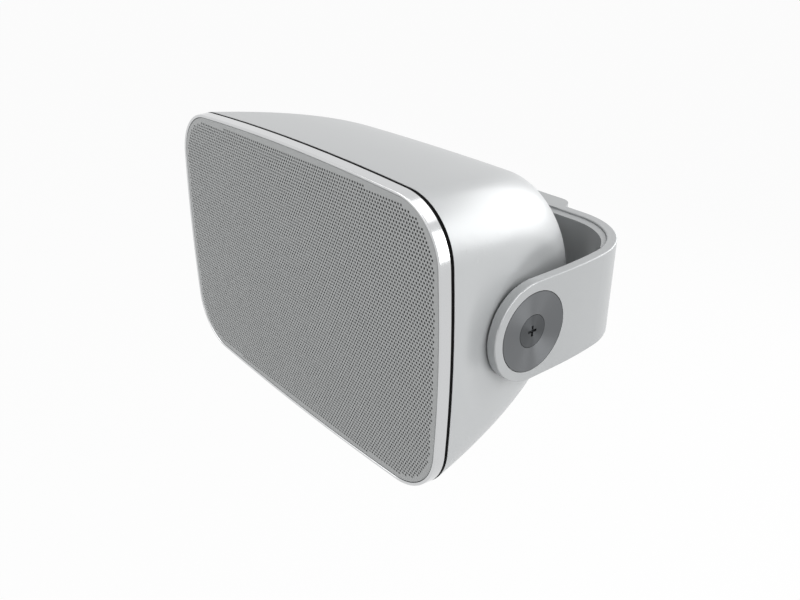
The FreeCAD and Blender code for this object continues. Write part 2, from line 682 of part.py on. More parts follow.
def make_baffle():
    body = new_body("baffle", turn=FACING_REAR)
    front_pad(body, "Rim", GRILLE_EDGE, "rim_front", "trim_depth")
    front = new_sketch(body, "PlugFront", lift="trim_depth")
    front_outline(front, PLUG_INSET)
    rear = new_sketch(body, "PlugRear", lift=BAFFLE_BACK)
    inset = f"({PLUG_INSET} + plug_taper)"
    outline(rear, f"front_width - 2 * {inset}", f"front_height - 2 * {inset}", "front_corner", "side_bow", "edge_bow")
    loft(body, "AdditiveLoft", "Plug", [front, rear])
    tray = new_sketch(body, "TrayOutline", lift="rim_front")
    front_outline(tray, f"{GRILLE_EDGE} + rim_width")
    pocket(body, tray, "Tray", "baffle_front - rim_front", back=True)
    for name, place, radius, hole in (
            ("Woofer", WOOFER_X, "woofer_radius", "basket_inner + basket_skin + run_gap"),
            ("Tweeter", TWEETER_X, "tweeter_radius", "tweeter_magnet_radius + run_gap")):
        round_cuts(body, name + "Rebate", [(place, "0")], f"{radius} + fit_gap", "baffle_front", "rebate", back=True)
        round_cuts(body, name + "Hole", [(place, "0")], hole, "baffle_front", back=True)
    spots = corners_of(*BAFFLE_SCREW)
    round_cuts(body, "ScrewHoles", spots, "small_thread + fit_gap", "baffle_front", back=True)
    spots = ring_spots("woofer_screw_ring", WOOFER_X) + ring_spots("tweeter_screw_ring", TWEETER_X)
    round_cuts(body, "PilotHoles", spots, "small_thread + shaft_gap", "baffle_front", back=True)


def ring_spots(ring, middle="0"):
    """Four spots on a ring, between the axes."""
    return corners_of(f"{ring} * sqrt(0.5)", f"{ring} * sqrt(0.5)", middle)


def make_screws(label, spots, seat, length, from_rear=False):
    """Small socket screws, as separate solids: heads on their seat and shanks behind it."""
    body = new_body(label, turn=FACING_REAR)
    body.AllowCompound = True
    round_pads(body, "Shanks", spots, "small_thread", seat, length, back=from_rear)
    round_pads(body, "Heads", spots, "small_head", seat, "small_head_height", back=not from_rear)
    top = f"{seat} {'+' if from_rear else '-'} small_head_height"
    sketch = new_sketch(body, "SocketOutlines", lift=top)
    for x, y in spots:
        hexagon(sketch, x, y, "small_socket")
    pocket(body, sketch, "Sockets", "small_socket_depth", back=not from_rear)


make_cabinet()
make_trim_ring()
gasket = new_body("cabinet_gasket", turn=FACING_REAR)
front_pad(gasket, "Foam", "gasket_inset", "trim_depth", MOUTH_AT, hollow=f"{PLUG_INSET} - fit_gap")
make_grille()
cloth = new_body("grille_cloth", turn=FACING_REAR)
front_pad(cloth, "Cloth", f"{GRILLE_EDGE} + grille_sheet + fit_gap", GRILLE_BACK, f"{GRILLE_BACK} + cloth_sheet")
make_baffle()
make_screws("baffle_screws", corners_of(*BAFFLE_SCREW), "baffle_front", "baffle_screw_length")


# Woofer: every piece is turned round its axis, as radius and depth behind the front plane

CONE_REAR = "(baffle_front + cone_depth)"
COIL_OUT = "(coil_radius + coil_skin)"
NECK = f"({COIL_OUT} + shaft_gap)"
SEAT = "(baffle_front + basket_depth)"
MAGNET_FRONT = f"({SEAT} + plate_sheet)"
MAGNET_REAR = f"({MAGNET_FRONT} + magnet_sheet)"


def cone_face(radius):
    """Depth of the cone's front at a radius."""
    return f"({CONE_REAR} - cone_depth * ({radius} - {NECK}) / (cone_radius - {NECK}))"


def make_basket():
    flange_rear = "(baffle_front + woofer_flange)"
    body = turned("woofer_basket", [
        ("basket_inner", "baffle_front"),
        ("woofer_radius", "baffle_front"),
        ("woofer_radius", flange_rear),
        ("basket_inner + basket_skin", flange_rear),
        ("basket_neck + basket_skin", SEAT),
        ("seat_hole", SEAT),
        ("seat_hole", f"{SEAT} - basket_skin"),
        ("basket_neck", f"{SEAT} - basket_skin"),
        ("basket_inner", flange_rear),
    ], place_x=WOOFER_X, turn=FACING_REAR)
    window = new_sketch(body, "WindowOutline", "XZ_Plane")
    front = "baffle_front + window_front"
    rear = f"{front} + window_length"
    half = "basket_window / 2"
    polygon(window, [(f"-{half}", front), (half, front), (half, rear), (f"-{half}", rear)])
    polar(body, pocket(body, window, "Window", "woofer_radius"), 6)
    round_cuts(body, "ScrewHoles", ring_spots("woofer_screw_ring"), "small_thread + fit_gap", "baffle_front",
               back=True)


def turned_profile(label, steps, **place):
    """A turned piece whose half section has arcs."""
    body = new_body(label, **place)
    sketch = new_sketch(body, label + "_section", "XZ_Plane")
    profile(sketch, steps)
    revolve(body, sketch)


def make_cap(label, radius, edge, rise, skin, edge_rear, **place):
    """Thin spherical cap whose hollow side faces the rear."""
    inner = f"({radius} - {skin})"
    turned_profile(label, [
        ("0", f"{edge} - {rise}", bow_radius(f"2 * {radius}", rise), 1),
        (radius, edge),
        (inner, edge_rear, bow_radius(f"2 * {inner}", f"({edge_rear} - {edge} + {rise} - {skin})"), -1),
        ("0", f"{edge} - {rise} + {skin}"),
    ], **place)


def ring(label, inner, outer, front, rear, **place):
    """Plain turned ring."""
    return turned(label, [(inner, front), (outer, front), (outer, rear), (inner, rear)], **place)


def yoke(label, pole, radius, front, magnet_rear, sheet_text, **place):
    """Back plate with its pole in one turned piece."""
    rear = f"{magnet_rear} + {sheet_text}"
    turned(label, [("0", front), (pole, front), (pole, magnet_rear), (radius, magnet_rear), (radius, rear),
                   ("0", rear)], **place)


INNER_ROLL = "(surround_roll - surround_skin)"
WOOFER = {"place_x": WOOFER_X, "turn": FACING_REAR}
make_basket()
turned_profile("woofer_surround", [
    ("cone_radius", "baffle_front", "surround_roll", 1),
    ("cone_radius + surround_roll", "baffle_front - surround_roll", "surround_roll", 1),
    ("cone_radius + 2 * surround_roll", "baffle_front"),
    ("cone_radius + 2 * surround_roll - surround_skin", "baffle_front", INNER_ROLL, -1),
    ("cone_radius + surround_roll", f"baffle_front - {INNER_ROLL}", INNER_ROLL, -1),
    ("cone_radius + surround_skin", "baffle_front"),
], **WOOFER)
turned("woofer_cone", [
    (NECK, CONE_REAR),
    ("cone_radius", "baffle_front"),
    ("cone_radius + surround_skin", "baffle_front"),
    ("cone_radius + surround_skin", "baffle_front + cone_skin"),
    (NECK, f"{CONE_REAR} + cone_skin * 4 / 3"),
], **WOOFER)
make_cap("woofer_dust_cap", "cap_radius", cone_face("cap_radius"), "cap_height", "surround_skin",
         cone_face("(cap_radius - surround_skin)"), **WOOFER)
ring("woofer_coil", "coil_radius", COIL_OUT, CONE_REAR, f"{CONE_REAR} + coil_length", **WOOFER)
SPIDER_FRONT = f"({CONE_REAR} + cone_skin * 4 / 3 + spider_gap)"
SPIDER_REAR = f"({SPIDER_FRONT} + spider_skin)"
BASKET_SLOPE = "((basket_inner - basket_neck) / (basket_depth - basket_skin - woofer_flange))"
ring("woofer_spider", f"{COIL_OUT} + run_gap",
     f"basket_inner - {BASKET_SLOPE} * ({SPIDER_REAR} - baffle_front - woofer_flange) - fit_gap",
     SPIDER_FRONT, SPIDER_REAR, **WOOFER)
ring("woofer_top_plate", f"{COIL_OUT} + coil_gap", "yoke_radius", SEAT, MAGNET_FRONT, **WOOFER)
ring("woofer_magnet", "magnet_hole", "magnet_radius", MAGNET_FRONT, MAGNET_REAR, **WOOFER)
yoke("woofer_yoke", "coil_radius - coil_gap", "yoke_radius", SEAT, MAGNET_REAR, "plate_sheet", **WOOFER)
make_screws("woofer_screws", ring_spots("woofer_screw_ring", WOOFER_X), "baffle_front", "small_length")


# Tweeter

TWEETER = {"place_x": TWEETER_X, "turn": FACING_REAR}
PLATE_REAR = "(baffle_front + tweeter_flange)"
DOME_EDGE = "(baffle_front + dome_at)"
TWEETER_MAGNET_FRONT = f"({PLATE_REAR} + tweeter_plate_sheet)"
TWEETER_MAGNET_REAR = f"({TWEETER_MAGNET_FRONT} + tweeter_magnet_sheet)"
FORMER = "(dome_radius - dome_skin)"

plate = turned("tweeter_plate", [
    ("horn_radius", "baffle_front"),
    ("tweeter_radius", "baffle_front"),
    ("tweeter_radius", PLATE_REAR),
    ("dome_radius + 2 * tweeter_coil_gap", PLATE_REAR),
], **TWEETER)
round_cuts(plate, "ScrewHoles", ring_spots("tweeter_screw_ring"), "small_thread + fit_gap", "baffle_front", back=True)
turned_profile("tweeter_dome", [
    ("0", f"{DOME_EDGE} - dome_height", bow_radius("2 * dome_radius", "dome_height"), 1),
    ("dome_radius", DOME_EDGE),
    ("dome_radius", f"{DOME_EDGE} + tweeter_coil_length"),
    (FORMER, f"{DOME_EDGE} + tweeter_coil_length"),
    (FORMER, DOME_EDGE, bow_radius(f"2 * {FORMER}", "(dome_height - dome_skin)"), -1),
    ("0", f"{DOME_EDGE} - dome_height + dome_skin"),
], **TWEETER)
ring("tweeter_top_plate", "dome_radius + tweeter_coil_gap", "tweeter_yoke_radius", PLATE_REAR,
     TWEETER_MAGNET_FRONT, **TWEETER)
ring("tweeter_magnet", "tweeter_magnet_hole", "tweeter_magnet_radius", TWEETER_MAGNET_FRONT, TWEETER_MAGNET_REAR,
     **TWEETER)
yoke("tweeter_yoke", f"{FORMER} - tweeter_coil_gap", "tweeter_yoke_radius", PLATE_REAR, TWEETER_MAGNET_REAR,
     "tweeter_plate_sheet", **TWEETER)
make_screws("tweeter_screws", ring_spots("tweeter_screw_ring", TWEETER_X), "baffle_front", "small_length")


# Crossover board on the cabinet's standoffs, its parts on the side that faces forward

BOARD_FRONT = "(board_back - board_sheet)"


def make_board():
    board = new_body("crossover_board", place_x="board_x", turn=FACING_REAR)
    sketch = new_sketch(board, "BoardOutline", lift=BOARD_FRONT)
    rounded_box(sketch, "0", "board_width", "board_height", "cup_wall")
    pad(board, sketch, "Board", "board_sheet")
    round_cuts(board, "ScrewHoles", corners_of("board_hole_x", "board_hole_z"), "small_thread + fit_gap",
               BOARD_FRONT, back=True)

    coils = new_body("crossover_coils", place_x="board_x", turn=FACING_REAR)
    coils.AllowCompound = True
    spots = [("-winding_x", "winding_z"), ("-winding_x", "-winding_z")]
    round_pads(coils, "Windings", spots, "winding_radius", BOARD_FRONT, "winding_height", back=True)
    round_cuts(coils, "WindingBores", spots, "winding_hole", BOARD_FRONT)

    capacitors = new_body("crossover_capacitors", place_x="board_x", turn=FACING_REAR)
    capacitors.AllowCompound = True
    height = f"{BOARD_FRONT} - capacitor_radius"
    spots = [(f"capacitor_x + capacitor_step * {k}", height) for k in (-1, 0, 1)]
    round_pads(capacitors, "Cans", spots, "capacitor_radius", None, "capacitor_length", "XZ_Plane", both=True)

    resistor = new_body("crossover_resistor", place_x="board_x", turn=FACING_REAR)
    sketch = new_sketch(resistor, "ResistorOutline", lift=BOARD_FRONT)
    left = "resistor_x - resistor_width / 2"
    right = "resistor_x + resistor_width / 2"
    low = "resistor_z - resistor_side / 2"
    high = "resistor_z + resistor_side / 2"
    polygon(sketch, [(left, low), (right, low), (right, high), (left, high)])
    pad(resistor, sketch, "Block", "resistor_side", back=True)
    make_screws("board_screws", corners_of("board_hole_x", "board_hole_z", "board_x"), BOARD_FRONT, "small_length")


# Terminal cup in the rear panel, with two posts and their nuts

CUP_FLOOR = "(rear_at - cup_depth)"
POST_SPOTS = [("-post_spacing / 2", "0"), ("post_spacing / 2", "0")]


def make_terminals():
    cup = new_body("terminal_cup", place_x="cup_x", turn=FACING_REAR)
    tray = new_sketch(cup, "TrayOutline", lift=CUP_FLOOR)
    rounded_box(tray, "0", "cup_width", "cup_height", "cup_corner")
    pad(cup, tray, "Tray", "cup_depth")
    flange = new_sketch(cup, "FlangeOutline", lift="rear_at")
    rounded_box(flange, "0", "cup_width + 2 * cup_flange", "cup_height + 2 * cup_flange", "cup_corner")
    pad(cup, flange, "Flange", "cup_flange_sheet")
    inside = new_sketch(cup, "InsideOutline", lift="rear_at + cup_flange_sheet")
    rounded_box(inside, "0", "cup_width - 2 * cup_wall", "cup_height - 2 * cup_wall", "cup_corner - cup_wall")
    pocket(cup, inside, "Inside", "cup_depth + cup_flange_sheet - cup_wall")
    round_cuts(cup, "PostHoles", POST_SPOTS, "post_radius + shaft_gap", "rear_at")
    round_cuts(cup, "ScrewHoles", corners_of("cup_screw_x", "cup_screw_z"), "small_thread + fit_gap",
               "rear_at + cup_flange_sheet")
    make_screws("terminal_screws", corners_of("cup_screw_x", "cup_screw_z", "cup_x"), "rear_at + cup_flange_sheet",
                "small_length", from_rear=True)

    posts = new_body("terminal_posts", place_x="cup_x", turn=FACING_REAR)
    posts.AllowCompound = True
    seat = f"{CUP_FLOOR} + cup_wall"
    round_pads(posts, "Collars", POST_SPOTS, "post_base", seat, "post_collar")
    round_pads(posts, "Tails", POST_SPOTS, "post_radius", seat, "cup_wall + post_tail", back=True)
    round_pads(posts, "Threads", POST_SPOTS, "post_radius", f"{seat} + post_collar", "post_length - post_collar")

    nut_front = f"{seat} + post_collar + shaft_gap"
    for label, sign in (("terminal_nut_red", "-"), ("terminal_nut_black", "+")):
        nut = ring(label, "post_radius + shaft_gap", "nut_radius", nut_front, f"{nut_front} + nut_length",
                   place_x=f"cup_x {sign} post_spacing / 2", turn=FACING_REAR)
        flute = round_cuts(nut, "Flute", [("nut_radius + nut_flute / 3", "0")], "nut_flute", nut_front, back=True)
        polar(nut, flute, 9)


make_board()
make_terminals()


# Pivot: each side has a disc, a screw, a friction washer and a threaded insert

DISC_SEAT = f"({LEG_OUT} - disc_sheet)"
SCREW_SEAT = f"({DISC_SEAT} - head_seat)"
HEAD_TOP = f"({LEG_OUT} - disc_dish)"


def make_pivot(side, turn):
    place = {"place_y": PIVOT_Y, "place_z": "0", "turn": turn}
    turned("pivot_disc_" + side, [
        ("head_radius + run_gap", DISC_SEAT),
        ("disc_radius", DISC_SEAT),
        ("disc_radius", LEG_OUT),
        ("head_radius + run_gap", HEAD_TOP),
    ], **place)
    thread_end = f"{BOSS_FACE} - thread_length"
    screw = turned("pivot_screw_" + side, [
        ("0", thread_end),
        ("pivot_thread", thread_end),
        ("pivot_thread", BOSS_FACE),
        ("shoulder_radius", BOSS_FACE),
        ("shoulder_radius", f"{SCREW_SEAT} + shaft_gap"),
        ("head_radius", f"{SCREW_SEAT} + shaft_gap"),
        ("head_radius", HEAD_TOP),
        ("0", HEAD_TOP),
    ], **place)
    cross = new_sketch(screw, "CrossOutline", lift=HEAD_TOP)
    arm = "recess_length / 2"
    half = "recess_width / 2"
    polygon(cross, [
        (arm, f"-{half}"), (arm, half), (half, half), (half, arm), (f"-{half}", arm), (f"-{half}", half),
        (f"-{arm}", half), (f"-{arm}", f"-{half}"), (f"-{half}", f"-{half}"), (f"-{half}", f"-{arm}"),
        (half, f"-{arm}"), (half, f"-{half}"),
    ])
    pocket(screw, cross, "CrossRecess", "recess_depth")
    leg_in = f"{LEG_OUT} - leg_sheet"
    ring("friction_washer_" + side, "washer_bore", "washer_radius", f"{leg_in} - washer_sheet", leg_in, **place)
    ring("pivot_insert_" + side, "pivot_thread + shaft_gap", "insert_radius", f"{BOSS_FACE} - insert_length",
         BOSS_FACE, **place)


make_pivot("right", FACING_RIGHT)
make_pivot("left", FACING_LEFT)


# Bracket: bowed legs bent from one strap, with a wall pad; Y is measured behind the pivot

BOW_MIDDLE = f"({LEG_OUT} - leg_bow)"
INNER_BACK = "(strap_back - strap_sheet)"


def bend_points(bow, bend, back):
    """Where the bow meets the bend, and where the bend meets the straight back."""
    rise = f"({back} - {bend} - bow_start)"
    reach = f"sqrt(({bow} - {bend}) ^ 2 - {rise} ^ 2)"
    share = f"({bow} / ({bow} - {bend}))"
    meet = (f"{BOW_MIDDLE} + {reach} * {share}", f"bow_start + {rise} * {share}")
    return meet, (f"{BOW_MIDDLE} + {reach}", back)


def make_bracket():
    body = new_body("bracket", place_y=PIVOT_Y, place_z="0")
    inner_bow = "(leg_bow - leg_sheet)"
    meet, start = bend_points("leg_bow", "bend_outer", "strap_back")
    inner_meet, inner_start = bend_points(inner_bow, "bend_inner", INNER_BACK)
    leg_in = f"{LEG_OUT} - leg_sheet"
    tip = "-strap_height / 2"
    plan = new_sketch(body, "StrapPlan")
    profile(plan, [
        (leg_in, tip),
        (LEG_OUT, tip),
        (LEG_OUT, "bow_start", "leg_bow", 1),
        (*meet, "bend_outer", 1),
        start,
        ("0", "strap_back"),
        ("0", INNER_BACK),
        (*inner_start, "bend_inner", -1),
        (*inner_meet, inner_bow, -1),
        (leg_in, "bow_start"),
    ])
    half = pad(body, plan, "HalfStrap", "strap_height", both=True)
    mirrored(body, [half], "WholeStrap")

    top = "strap_height / 2"
    beyond = "(strap_height / 2 + disc_sheet)"
    ends = new_sketch(body, "LegEnds", "YZ_Plane")
    profile(ends, [
        ("0", top, top, 1),
        (f"-{top}", "0", top, 1),
        ("0", f"-{top}"),
        ("0", f"-{beyond}"),
        (f"-{beyond}", f"-{beyond}"),
        (f"-{beyond}", beyond),
        ("0", beyond),
    ])
    cut = pocket(body, ends, "RoundLegEnds", both=True)
    round_edges(body, cut, "SoftEdges", [f"Edge{k + 1}" for k in range(len(cut.Shape.Edges))], "strap_round")

    wall = "(pivot_to_wall)"
    pad_sketch = new_sketch(body, "PadPlan")
    profile(pad_sketch, [
        ("-pad_half", INNER_BACK),
        ("pad_half", INNER_BACK),
        ("pad_half", f"{wall} - pad_corner", "pad_corner", 1),
        ("pad_half - pad_corner", wall),
        ("pad_corner - pad_half", wall, "pad_corner", 1),
        ("-pad_half", f"{wall} - pad_corner"),
    ])
    pad(body, pad_sketch, "WallPad", "strap_height", both=True)

    axis = [("0", "0")]
    cuts = [
        round_cuts(body, "DiscRecess", axis, "disc_radius + disc_groove", LEG_OUT, "disc_sheet", "YZ_Plane"),
        round_cuts(body, "HeadRecess", axis, "head_radius + run_gap", DISC_SEAT, "head_seat", "YZ_Plane"),
        round_cuts(body, "PivotBore", axis, "shoulder_radius + shaft_gap", SCREW_SEAT, "leg_sheet", "YZ_Plane"),
    ]
    mirrored(body, cuts, "LeftPivot")

    spots = corners_of("wall_hole_x", "wall_hole_z")
    round_cuts(body, "WallHoles", spots, "wall_hole", f"-{INNER_BACK}", "2 * strap_sheet + pivot_to_wall - strap_back",
               "XZ_Plane")
    round_cuts(body, "WallSinks", spots, "wall_sink", f"-{INNER_BACK}", "wall_sink_depth", "XZ_Plane")


def make_cover():
    body = new_body("bracket_cover", place_y=PIVOT_Y, place_z="0")
    rear = f"({INNER_BACK} - fit_gap)"
    front = f"({rear} - cover_sheet)"
    flat = f"({LEG_OUT} - cover_run)"
    bend = "(bend_inner - fit_gap)"
    start = bend_points("(leg_bow - leg_sheet - fit_gap)", bend, rear)[1]
    end_front = f"{flat} + sqrt(cover_bend ^ 2 - (cover_end - {front} + cover_bend) ^ 2)"
    end_rear = f"{start[0]} + sqrt({bend} ^ 2 - (cover_end - {rear} + {bend}) ^ 2)"
    plan = new_sketch(body, "CoverPlan")
    profile(plan, [
        ("0", front),
        (flat, front, "cover_bend", -1),
        (end_front, "cover_end"),
        (end_rear, "cover_end", bend, 1),
        start,
        ("0", rear),
    ])
    half = pad(body, plan, "HalfCover", "strap_height - 2 * cover_drop", both=True)
    mirrored(body, [half], "WholeCover")
    hollow = new_sketch(body, "HollowOutline", "XZ_Plane", lift=f"-{rear}")
    rounded_box(hollow, "0", "2 * cover_pocket", "strap_height - 2 * cover_drop - 2 * cover_skin", "cover_skin")
    pocket(body, hollow, "Hollow", "cover_sheet - cover_skin", back=True)


make_bracket()
make_cover()

# Check every piece before it is written
doc.recompute()
for item in doc.Objects:
    if "Invalid" in item.State or "Error" in item.State:
        raise ValueError(f"{item.Label}: {item.State}")
os.makedirs("parts", exist_ok=True)
for body in NODES:
    if body.Shape.isNull() or not body.Shape.isValid():
        raise ValueError(f"{body.Label} has no valid shape")
    body.Shape.exportStep(f"parts/{body.Label}.step")
print(len(NODES), "pieces written")
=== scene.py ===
# %% [markdown]
# An outdoor patio speaker.
# The speaker hangs on a wall in a U-shaped bracket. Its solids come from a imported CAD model, which
# is the fixed frame here: nothing of it is moved. This script gives every solid its real finish and
# makes three pieces anew where a solid can't show what the eye sees: the cabinet's fair skin, the
# squeezed gasket and the fine grille. Then it lights the speaker like a studio photograph.

# %% Load the frame
import bisect
import bmesh
import bpy
import json
import math
from mathutils import Matrix, Vector, kdtree
from mathutils.bvhtree import BVHTree


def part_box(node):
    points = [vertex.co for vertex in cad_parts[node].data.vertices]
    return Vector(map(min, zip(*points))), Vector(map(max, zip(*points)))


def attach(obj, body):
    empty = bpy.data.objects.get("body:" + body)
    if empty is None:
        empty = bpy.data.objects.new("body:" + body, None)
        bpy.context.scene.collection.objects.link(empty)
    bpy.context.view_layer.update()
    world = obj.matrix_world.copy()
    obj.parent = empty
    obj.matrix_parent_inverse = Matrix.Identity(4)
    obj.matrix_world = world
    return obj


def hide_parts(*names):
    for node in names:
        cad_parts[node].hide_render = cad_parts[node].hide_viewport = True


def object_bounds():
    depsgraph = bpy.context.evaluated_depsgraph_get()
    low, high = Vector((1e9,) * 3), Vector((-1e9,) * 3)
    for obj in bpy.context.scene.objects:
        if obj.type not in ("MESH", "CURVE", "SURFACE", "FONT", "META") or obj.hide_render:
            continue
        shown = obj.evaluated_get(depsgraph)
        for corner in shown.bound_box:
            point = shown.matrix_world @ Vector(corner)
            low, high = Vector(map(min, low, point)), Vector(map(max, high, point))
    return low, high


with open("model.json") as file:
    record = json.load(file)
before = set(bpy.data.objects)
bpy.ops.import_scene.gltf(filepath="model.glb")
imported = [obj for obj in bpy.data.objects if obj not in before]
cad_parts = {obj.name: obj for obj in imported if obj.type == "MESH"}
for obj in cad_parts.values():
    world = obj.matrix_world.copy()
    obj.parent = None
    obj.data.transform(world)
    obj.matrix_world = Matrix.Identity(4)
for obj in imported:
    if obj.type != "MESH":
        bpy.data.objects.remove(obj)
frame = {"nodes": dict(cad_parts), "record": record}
nodes = frame["nodes"]
cad_low, cad_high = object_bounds()
MM = 0.001
print(len(nodes), "solids, size in mm:", [round(side / MM, 1) for side in cad_high - cad_low])

# %% [markdown]
# Two helpers.
# Colours are picked as sRGB hex codes, as a paint chart gives them, but the renderer works in linear
# light, so one function turns them. A second one adds a shader node with its settings, its values
# and its incoming links, which keeps each material short enough to read at a glance.

# %% Colour and node helpers


def linear(code):
    """sRGB hex code to linear red, green, blue and an alpha of 1."""
    shares = [int(code[k:k + 2], 16) / 255 for k in (1, 3, 5)]
    return (*[c / 12.92 if c <= 0.04045 else ((c + 0.055) / 1.055) ** 2.4 for c in shares], 1.0)


def add(tree, kind, values=None, links=None, **settings):
    """Add a node to a tree, set its options and sockets, and link sockets to where they come from."""
    made = tree.nodes.new(kind)
    for name, value in settings.items():
        setattr(made, name, value)
    for socket, value in (values or {}).items():
        made.inputs[socket].default_value = value
    for socket, source in (links or {}).items():
        tree.links.new(source, made.inputs[socket])
    return made


print("a mid grey of #808080 is", round(linear("#808080")[0], 3), "in linear light")

# %% [markdown]
# What every finish shares.
# No real surface is one flat colour. Moulded plastic has a fine grain, paint dries a little uneven,
# and cast or stamped metal shows faint clouds. So each finish has three layers: a slow change of tone
# over centimetres, a small change of gloss, and a grain in tenths of a millimetre that bends the light.
# Painted pictures of each surface could do this, but they need unwrapped pieces. Noise that is placed
# by the object's own coordinates in metres needs none, and its size is a real one on every piece.

# %% The base of every finish
CLOUD = 40.0 * MM
GLOSS_SPREAD = 0.15


def finish(name, colour, roughness, metallic=0.0, grain=0.5, depth=0.01, tone=0.05):
    """A material with a grain of that size and depth, and clouds of tone, all in millimetres."""
    material = bpy.data.materials.new(name)
    material.use_nodes = True
    tree = material.node_tree
    shader = tree.nodes["Principled BSDF"]
    shader.inputs["Metallic"].default_value = metallic
    place = add(tree, "ShaderNodeTexCoord").outputs["Object"]
    clouds = add(tree, "ShaderNodeTexNoise", {"Scale": 1 / CLOUD, "Detail": 3.0}, {"Vector": place})
    # the colour sockets of a Mix node are inputs 6 and 7, and output 2
    mix = add(tree, "ShaderNodeMix", None, {"Factor": clouds.outputs["Fac"]}, data_type="RGBA")
    mix.inputs[6].default_value = tuple(c * (1 - tone) for c in linear(colour)[:3]) + (1.0,)
    mix.inputs[7].default_value = tuple(min(c * (1 + tone), 1) for c in linear(colour)[:3]) + (1.0,)
    tree.links.new(mix.outputs[2], shader.inputs["Base Color"])
    specks = add(tree, "ShaderNodeTexNoise", {"Scale": 1 / (grain * MM), "Detail": 2.0}, {"Vector": place})
    gloss = add(tree, "ShaderNodeMapRange",
                {"To Min": roughness * (1 - GLOSS_SPREAD), "To Max": roughness * (1 + GLOSS_SPREAD)},
                {"Value": specks.outputs["Fac"]})
    tree.links.new(gloss.outputs["Result"], shader.inputs["Roughness"])
    bump = add(tree, "ShaderNodeBump", {"Strength": 1.0, "Distance": depth * MM},
               {"Height": specks.outputs["Fac"]})
    tree.links.new(bump.outputs["Normal"], shader.inputs["Normal"])
    return material


print("clouds of", round(CLOUD / MM), "mm, and gloss that varies by", round(GLOSS_SPREAD * 100), "%")

# %% [markdown]
# Patterns that are cut, woven or wound.
# Some finishes have a regular pattern on top of that base: the rings that a lathe leaves, the threads
# of a cloth, or the turns of a coil. As real ridges they would cost millions of triangles, so a wave
# texture draws them, chained into the bump of the base. Blender's waves repeat every 2 pi / 20 of a
# unit at scale 1, so the scale follows from the spacing.

# %% Waves added to a finish
WAVE_AT_SCALE_1 = 2 * math.pi / 20


def waves(material, spacing, depth, direction="X", rings=False, centre=(0, 0, 0)):
    """Add ridges of that spacing and depth in millimetres to a finish."""
    tree = material.node_tree
    shader = tree.nodes["Principled BSDF"]
    before = shader.inputs["Normal"].links[0].from_socket
    place = add(tree, "ShaderNodeTexCoord").outputs["Object"]
    moved = add(tree, "ShaderNodeMapping", {"Location": [-c for c in centre]}, {"Vector": place})
    if rings:
        settings = {"wave_type": "RINGS", "rings_direction": direction}
    else:
        settings = {"bands_direction": direction}
    wave = add(tree, "ShaderNodeTexWave", {"Scale": WAVE_AT_SCALE_1 / (spacing * MM)},
               {"Vector": moved.outputs["Vector"]}, **settings)
    bump = add(tree, "ShaderNodeBump", {"Strength": 1.0, "Distance": depth * MM},
               {"Height": wave.outputs["Fac"], "Normal": before})
    tree.links.new(bump.outputs["Normal"], shader.inputs["Normal"])
    return material


print("a wave texture at scale 1 repeats every", round(WAVE_AT_SCALE_1, 3), "of a unit")

# %% [markdown]
# Silver paint, bright metal and black foam.
# Silver paint holds fine metal flakes, so cabinet and bracket are partly metallic, with a satin gloss
# that gives one broad highlight. A full metal would mirror the room, and a plain grey would look like
# bare plastic. The trim ring is polished aluminium and does mirror the room. The grille is steel with
# a powder coat. Foam between trim ring and cabinet drinks the light, so even its highlight is faint.

# %% Painted surfaces, the trim ring and the foam
# paint sprayed on moulded plastic: a soft metallic sheen with a grain that hardly breaks it
painted_cabinet = finish("satin silver paint on moulded plastic", "#b3b5b6", 0.33, metallic=0.3,
                         grain=0.35, depth=0.004, tone=0.012)
# powder that is baked on metal flows out evenly, and looks a shade darker than the cabinet
painted_bracket = finish("satin silver powder coat", "#abadae", 0.33, metallic=0.3,
                         grain=0.3, depth=0.003, tone=0.015)
# the cabinet's paint, drawn darker as painted shade because the cover sits out of the light, and a little
# duller
cover_paint_darkened_as_shade = finish("satin silver paint on plastic", "#a4a6a7", 0.4, metallic=0.2,
                       grain=0.35, depth=0.004, tone=0.015)
# polished and then anodised: a mirror whose images have soft edges
bright_trim = finish("polished aluminium", "#cccdce", 0.16, metallic=1.0,
                     grain=0.2, depth=0.0005, tone=0.02)
# powder on punched steel sheet: an even, nearly matt grey
coated_steel = finish("powder coated steel", "#b2b4b4", 0.5, metallic=0.1,
                      grain=0.3, depth=0.004, tone=0.03)
# cut cells of foam: black, rough and without shine
black_foam = finish("closed-cell foam", "#050505", 0.95, grain=0.6, depth=0.02, tone=0.2)
black_foam.node_tree.nodes["Principled BSDF"].inputs["Specular IOR Level"].default_value = 0.1
print("satin:", painted_cabinet.name, "/ mirror:", bright_trim.name, "/ black:", black_foam.name)

# %% [markdown]
# Metal from the lathe.
# The discs and the screw heads are turned: the tool leaves rings under a tenth of a millimetre apart.
# They stretch each highlight across them, so a turned face shows two bright fans. The fans could be
# painted as a colour, but then they would stand still when the speaker turns. So the shader is made
# anisotropic, with its tangent round the axis of the disc, and the rings are drawn coarser than the
# real ones so that they show.

# %% Turned discs and screw heads
PIVOT = (0.0, -123.0 * MM, 0.0)
RING_SPACING = 0.9
# turned aluminium, drawn far darker than the trim as painted shade: the dark colour stands in for the dim
# room that the disc mirrors
turned_metal = waves(finish("turned aluminium", "#707274", 0.34, metallic=1.0,
                            grain=0.3, depth=0.001, tone=0.03),
                     RING_SPACING, 0.006, direction="X", rings=True, centre=PIVOT)
